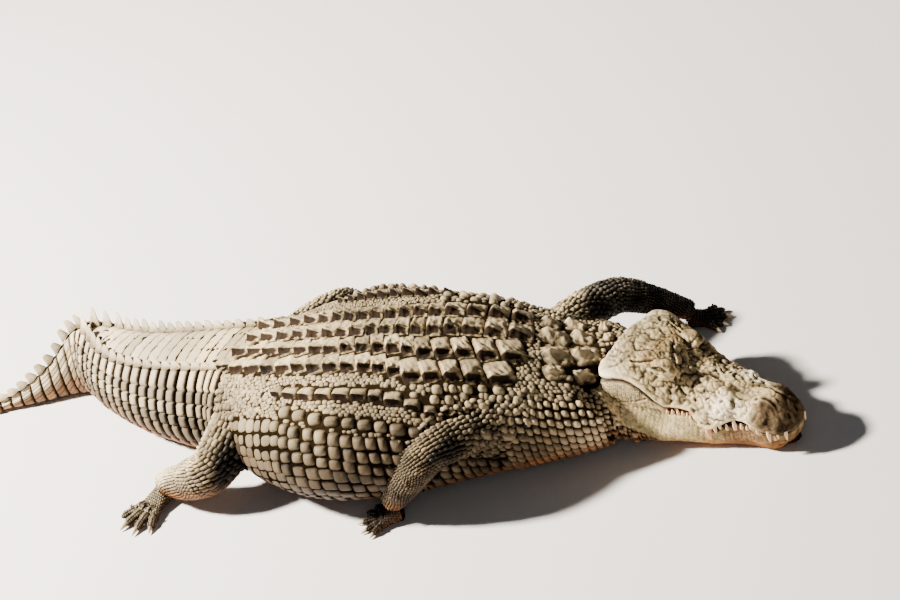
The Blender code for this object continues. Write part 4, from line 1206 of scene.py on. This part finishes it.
# ---------------------------------------------------------------- tail crest
# Upright fins of horn: two rows that flare outward along the root of the tail and meet at the bend,
# then one row to the tip. Each is rooted in its ring of the tail and leans towards the tip.
crest = Coat("tail_crest")
fins = []       # along, around, height, sideways lean, pitch
for k in range(ROOT_RINGS):
    share = (k + 0.5) / ROOT_RINGS
    at = CREST_START + ROOT_PITCH * (k + 0.5)
    for side, high in ((-1, 0.017 + 0.027 * share**2.2), (1, 0.019 + 0.024 * share**1.5)):
        fins.append((at, side * crest_offset(at), high, side * (0.75 - 0.25 * share), ROOT_PITCH))
for k in range(TIP_RINGS):
    high = 0.006 + 0.040 * (1 - k / TIP_RINGS) ** 1.6
    fins.append((BEND + TIP_PITCH * (k + 0.6), 0.0, high, 0.0, TIP_PITCH))
x = np.linspace(-1, 1, 11)[:, None]
y = np.linspace(-1, 1, 13)[None]
level = 1 - np.abs(y) ** 1.3
outline = np.clip(1 - np.abs((x - 0.35) / np.where(x > 0.35, 0.65, 1.35)) ** 3.2, 0, 1)
thick = (0.0045 * (1 - level) ** 0.45 + 0.010 * (1 - level) ** 2.5) * np.sign(y) * (1 - 0.6 * np.abs(x) ** 3)
for k, (along, around, high, lean, pitch) in enumerate(fins):
    (before, foot), (_, out) = BODY.at(np.array([along - 0.01, along]), np.array([around, around]))
    onward = unit(foot - before)
    beside = unit(np.cross(onward, UP))
    if (beside @ out) * lean < 0:
        beside = -beside
    up = unit(UP + beside * abs(lean) + onward * 0.22)
    chance = np.random.default_rng(500 + k)
    tall = high * chance.uniform(0.88, 1.12)
    places = (foot - up * 0.007 + onward * (pitch * 0.50 * (x + 0.30 * level * outline))[..., None]
              + up * (tall * outline * level + 0.003)[..., None] + beside * thick[..., None])
    grooves = 1 + 0.06 * np.sin(x * 9 + k) * level
    colour = markings_and_shade(places, 0 * places + UP) * (grooves * chance.uniform(0.82, 1.15))[..., None]
    crest.add_one(places, colour, 0.30 + 0.62 * level, (along / TAIL_END, (around / 0.6 + 1) / 2))
crest.finish(coat_look)


# ---------------------------------------------------------------- granules
# Small beads of horn, each grown from the hide, fill all the room that the larger scales leave on the neck,
# shoulders, flanks and hips.
granules = Coat("granules")
taken_up = np.array(placed)
chance = np.random.default_rng(17)
for start, end, low, high, pitch in ((0.02, 0.33, 0.0, 0.235, 0.0125), (0.30, 0.56, 0.145, 0.44, 0.0150),
                                     (0.52, 0.92, 0.13, 0.37, 0.0105), (0.86, 1.14, 0.10, 0.36, 0.0120)):
    for side in (-1, 1):
        along, offset = np.meshgrid(np.arange(start, end, pitch), np.arange(low, high, pitch * 0.9))
        along[::2] += pitch / 2
        along = (along + chance.uniform(-0.28, 0.28, along.shape) * pitch).ravel()
        offset = (offset + chance.uniform(-0.28, 0.28, offset.shape) * pitch).ravel()
        around = middle_line(along) + side * offset
        free = np.ones(len(along), bool)
        for other_along, other_around, long, wide in taken_up:
            free &= ((np.abs(along - other_along) >= long + pitch * 0.30)
                     | (np.abs(around - other_around) >= wide + pitch * 0.30))
        along, around = along[free], around[free]
        size = pitch * 0.54 * (1 + 0.40 * chance.random(len(along)) ** 2)
        granules.lay(BODY, along, around, size, size * 1.05, size * 0.42, square=2.4, dome=2.0, uneven=0.2,
                     sink=0.001, tone=0.84, seed=int(start * 1000) + side)
        taken_up = np.concatenate([taken_up, np.stack([along, around, size * 0.7, size * 0.7], 1)])
granules.finish(coat_look)


# ---------------------------------------------------------------- leg scales
# The limbs carry rows of overlapping horn scales in the hide: broad and squarish over the upper limb, small
# on the shin and forearm. Their sides that face the head, away from the light, carry painted shade.
limb = Coat("leg_scales")
for name, sheet in leg_hide.items():
    hind = name.endswith("hind")
    at, j = 0.05, 0
    while at < sheet.along[-1] - 0.004:
        share = at / sheet.along[-1]
        pitch = (0.0175 if hind else 0.0165) * (1 - 0.50 * ease(share, 0.35, 0.75))
        half = float(sheet.half_girth(at))
        count = max(6, int(2 * half / (pitch * 1.05)))
        around = (np.arange(count) + 0.5 * (j % 2)) / count * 2 * half - half
        top = np.cos(around / half * pi) * 0.5 + 0.5
        roots, outward = sheet.at(at + 0 * around, around)
        # painted shade on the side of a limb that faces the head, away from the light, mixed with random
        # patches
        front_shade = (2.3 if hind else 1.7) * ease(outward[:, 0], -0.05 * hind, 0.5)
        patchy = 1.3 * mottle(roots, 0.035, 9) - front_shade
        limb.lay(sheet, at, around, pitch * 0.60, half / count * 0.97, 0.0026 + 0.0022 * top,
                 0.0040 * top * (share < 0.7), square=2.6, dome=2.6, keel_width=0.8, sink=0.0012, uneven=0.26,
                 tone=np.maximum(0.10, 0.92 + 0.32 * patchy), seed=700 + j)
        at += pitch * 0.93
        j += 1
limb.finish(coat_look)


# ---------------------------------------------------------------- feet
# Fine horn scales lie over the backs of the palms, and half rings of small plates go down each toe, all set
# in the hide and dark with mud.
feet = Coat("foot_scales")
TOE_PLATES = np.array([-0.62, -0.32, 0.0, 0.32, 0.62])
for name, sheet in palm_hide.items():
    for j, at in enumerate(np.arange(0.004, sheet.along[-1] - 0.002, 0.0072)):
        half = float(sheet.half_girth(at))
        around = np.arange(-half * 0.62, half * 0.62, 0.0078) + 0.0039 * (j % 2)
        feet.lay(sheet, at, around, 0.0044, 0.0040, 0.0018, form=(4, 4), square=2.6, sink=0.0008, uneven=0.16,
                 tone=0.42, seed=900 + j)
    for toe in toe_hide[name]:
        for j, at in enumerate(np.arange(0.006, toe.along[-1] * 0.96, 0.0066)):
            half = float(toe.half_girth(at))
            feet.lay(toe, at, TOE_PLATES * half, 0.0040, half * 0.165, 0.0013, form=(4, 4), square=4,
                     sink=0.0006, uneven=0.08, tone=0.38, seed=950 + j)
feet.finish(coat_look)


# ---------------------------------------------------------------- claws
# The three inner toes of each foot end in a stout curved claw of pale brown horn, darker at its root. It sits
# over the end of the toe.
claw_look = hide_look("claw_horn", 500.0, 1.2, 0.0004)
claws = Coat("claws")
share = np.linspace(-0.25, 1, 9)[:, None]
for tips in toe_tips.values():
    for root, ahead, beside, length, radius in tips[-3:]:
        girth = radius * 0.62 * (1 - share).clip(0, 1) ** 0.75 + 0.0003
        centre = root + ahead * length * share + UP * (radius * 0.95 - 0.55 * radius * share.clip(0) ** 2)
        places = rings(centre, beside * girth * 0.8, UP * girth, 13)
        places[..., 2] = np.maximum(places[..., 2], 0.0004)
        tone = layered(paint(196, 176, 140) + 0 * places, (80, 62, 44, (1 - share.clip(0)) * 0.6))
        claws.add_one(places, tone, 0.7, 0.5 + root[:2] / 4)
claws.finish(claw_look)


# ---------------------------------------------------------------- teeth
# Peg teeth of yellowed ivory stand outside the lips, each in its own socket: the large one of each jaw and
# the small ones beside it. The small ones are stained at the root, and the largest carry a painted pink
# reflection of warm light.
tooth_look = hide_look("tooth_ivory", 700.0, 0.4, 0.0002)
teeth = Coat("teeth")
# how far back, length, radius
UPPER_TEETH = [(0.012, 0.024, 0.0052), (0.030, 0.018, 0.0045), (0.050, 0.030, 0.0062), (0.080, 0.016, 0.0045),
               (0.100, 0.012, 0.0040), (0.188, 0.014, 0.0045), (0.203, 0.019, 0.0055), (0.224, 0.036, 0.0085),
               (0.247, 0.014, 0.0048)]
LOWER_TEETH = [(0.038, 0.012, 0.0040), (0.152, 0.032, 0.0062), (0.132, 0.014, 0.0045), (0.116, 0.010, 0.0040),
               (0.172, 0.015, 0.0046), (0.278, 0.010, 0.0042), (0.291, 0.011, 0.0042), (0.305, 0.011, 0.0044),
               (0.320, 0.010, 0.0042), (0.335, 0.008, 0.0040)]
share = np.linspace(-0.35, 1, 8)[:, None]
for way, row, inset, socket in ((-1, UPPER_TEETH, 0.45, 0.003), (1, LOWER_TEETH, 0.9, -0.014)):
    for at, length, radius in row:
        # Painted pink reflected warm light over most of the largest teeth; a stain at the root of the small
        # ones
        fade, stain_and_bounce = (0.5, 0.95) if radius > 0.007 else (2, 0.35)
        for side in (-1, 1):
            half = np.interp(at, HEAD[:, 0], HEAD[:, 1]) - radius * inset
            girth = radius * (1 - share.clip(0, 1)) ** 0.6 + 0.0002
            middle = to_world(at, side * (half + 0.10 * length * share - 0.12 * length * share**2)[:, 0],
                              (mouth_height(at) + socket + way * length * share)[:, 0])
            places = rings(middle, -HEAD_FORWARD * girth, HEAD_LEFT * girth, 11)
            tone = layered(paint(226, 200, 158) + 0 * places,
                           (206, 140, 104, (1 - share.clip(0, 1)) ** fade * stain_and_bounce))
            teeth.add_one(places, tone, 0.75, (at + 0.3, 0.5 + side * 0.1 * way))
teeth.finish(tooth_look)


# ---------------------------------------------------------------- head scales
# Small flat horn scales lie in the skin of the lower jaw and cheeks, and fine beads of it at the soft corner
# of the mouth.
face = Coat("head_scales", "head_skin")


def lay_face(at, around, below_mouth, lowest, *sizes, **rest):
    """Lays one course on the face, between a level and so far below the mouth line."""
    _, _, level = to_head(HEAD_HIDE.at(at + 0 * around, around)[0])
    fits = (level < mouth_height(at) - below_mouth) & (level > lowest)
    if fits.any():
        face.lay(HEAD_HIDE, at, around[fits], *sizes, form=(4, 4), uneven=0.25, **rest)


for side in (-1, 1):
    for at in np.arange(0.06, 0.57, 0.0115):
        half = float(HEAD_HIDE.half_girth(at))
        around = side * (np.arange(0.30, 0.66, 0.0110 / half) * half + 0.003 * np.sin(at * 900))
        lay_face(at, around, 0.012, 0.012, 0.0055, 0.0053, 0.0010, square=3.5, dome=4, sink=0.0006, soot=0.45,
                 seed=1200 + int(at * 1000) + side)
    for at in np.arange(0.395, 0.525, 0.0052):
        around = side * np.arange(0.16, 0.34, 0.0052)
        lowest = 0.145 + 0.10 * abs(at - 0.455)
        lay_face(at, around, 0.004, lowest, 0.0029, 0.0027, 0.0013, square=2.2, dome=2, sink=0.0005, soot=1.2,
                 tone=0.95, seed=1300 + int(at * 1000) + side)
face.finish(coat_look)


# ---------------------------------------------------------------- floor and light
# The floor is plain, pale and matt. The main light is high, behind the tail, with a soft fill from the side
# of the viewer and a faint cool light from the room.
floor = new_piece("floor", [(-9, -9, 0), (9, -9, 0), (9, 9, 0), (-9, 9, 0)], [(0, 1, 2, 3)])
floor_look, _, _ = new_look("floor", {"Base Color": (0.62, 0.58, 0.54, 1), "Roughness": 0.9})
floor.data.materials.append(floor_look)


def lamp(name, place, size, power, colour):
    light = bpy.data.lights.new(name, "AREA")
    light.size = size
    light.energy = power
    light.color = colour
    holder = bpy.data.objects.new(name, light)
    holder.location = place
    holder.rotation_mode = "QUATERNION"
    holder.rotation_quaternion = (-Vector(place)).to_track_quat("-Z", "Y")
    scene.collection.objects.link(holder)


lamp("main_light", Vector((-0.725, -0.14, 0.675)) * 7, 0.7, 3900, (1.0, 0.96, 0.90))
lamp("fill_light", Vector((2.5, -4.5, 3.0)), 4.0, 34, (0.92, 0.96, 1.0))
world = bpy.data.worlds.new("room")
world.use_nodes = True
world.node_tree.nodes["Background"].inputs["Color"].default_value = (0.85, 0.90, 1.0, 1)
world.node_tree.nodes["Background"].inputs["Strength"].default_value = 0.09
scene.world = world
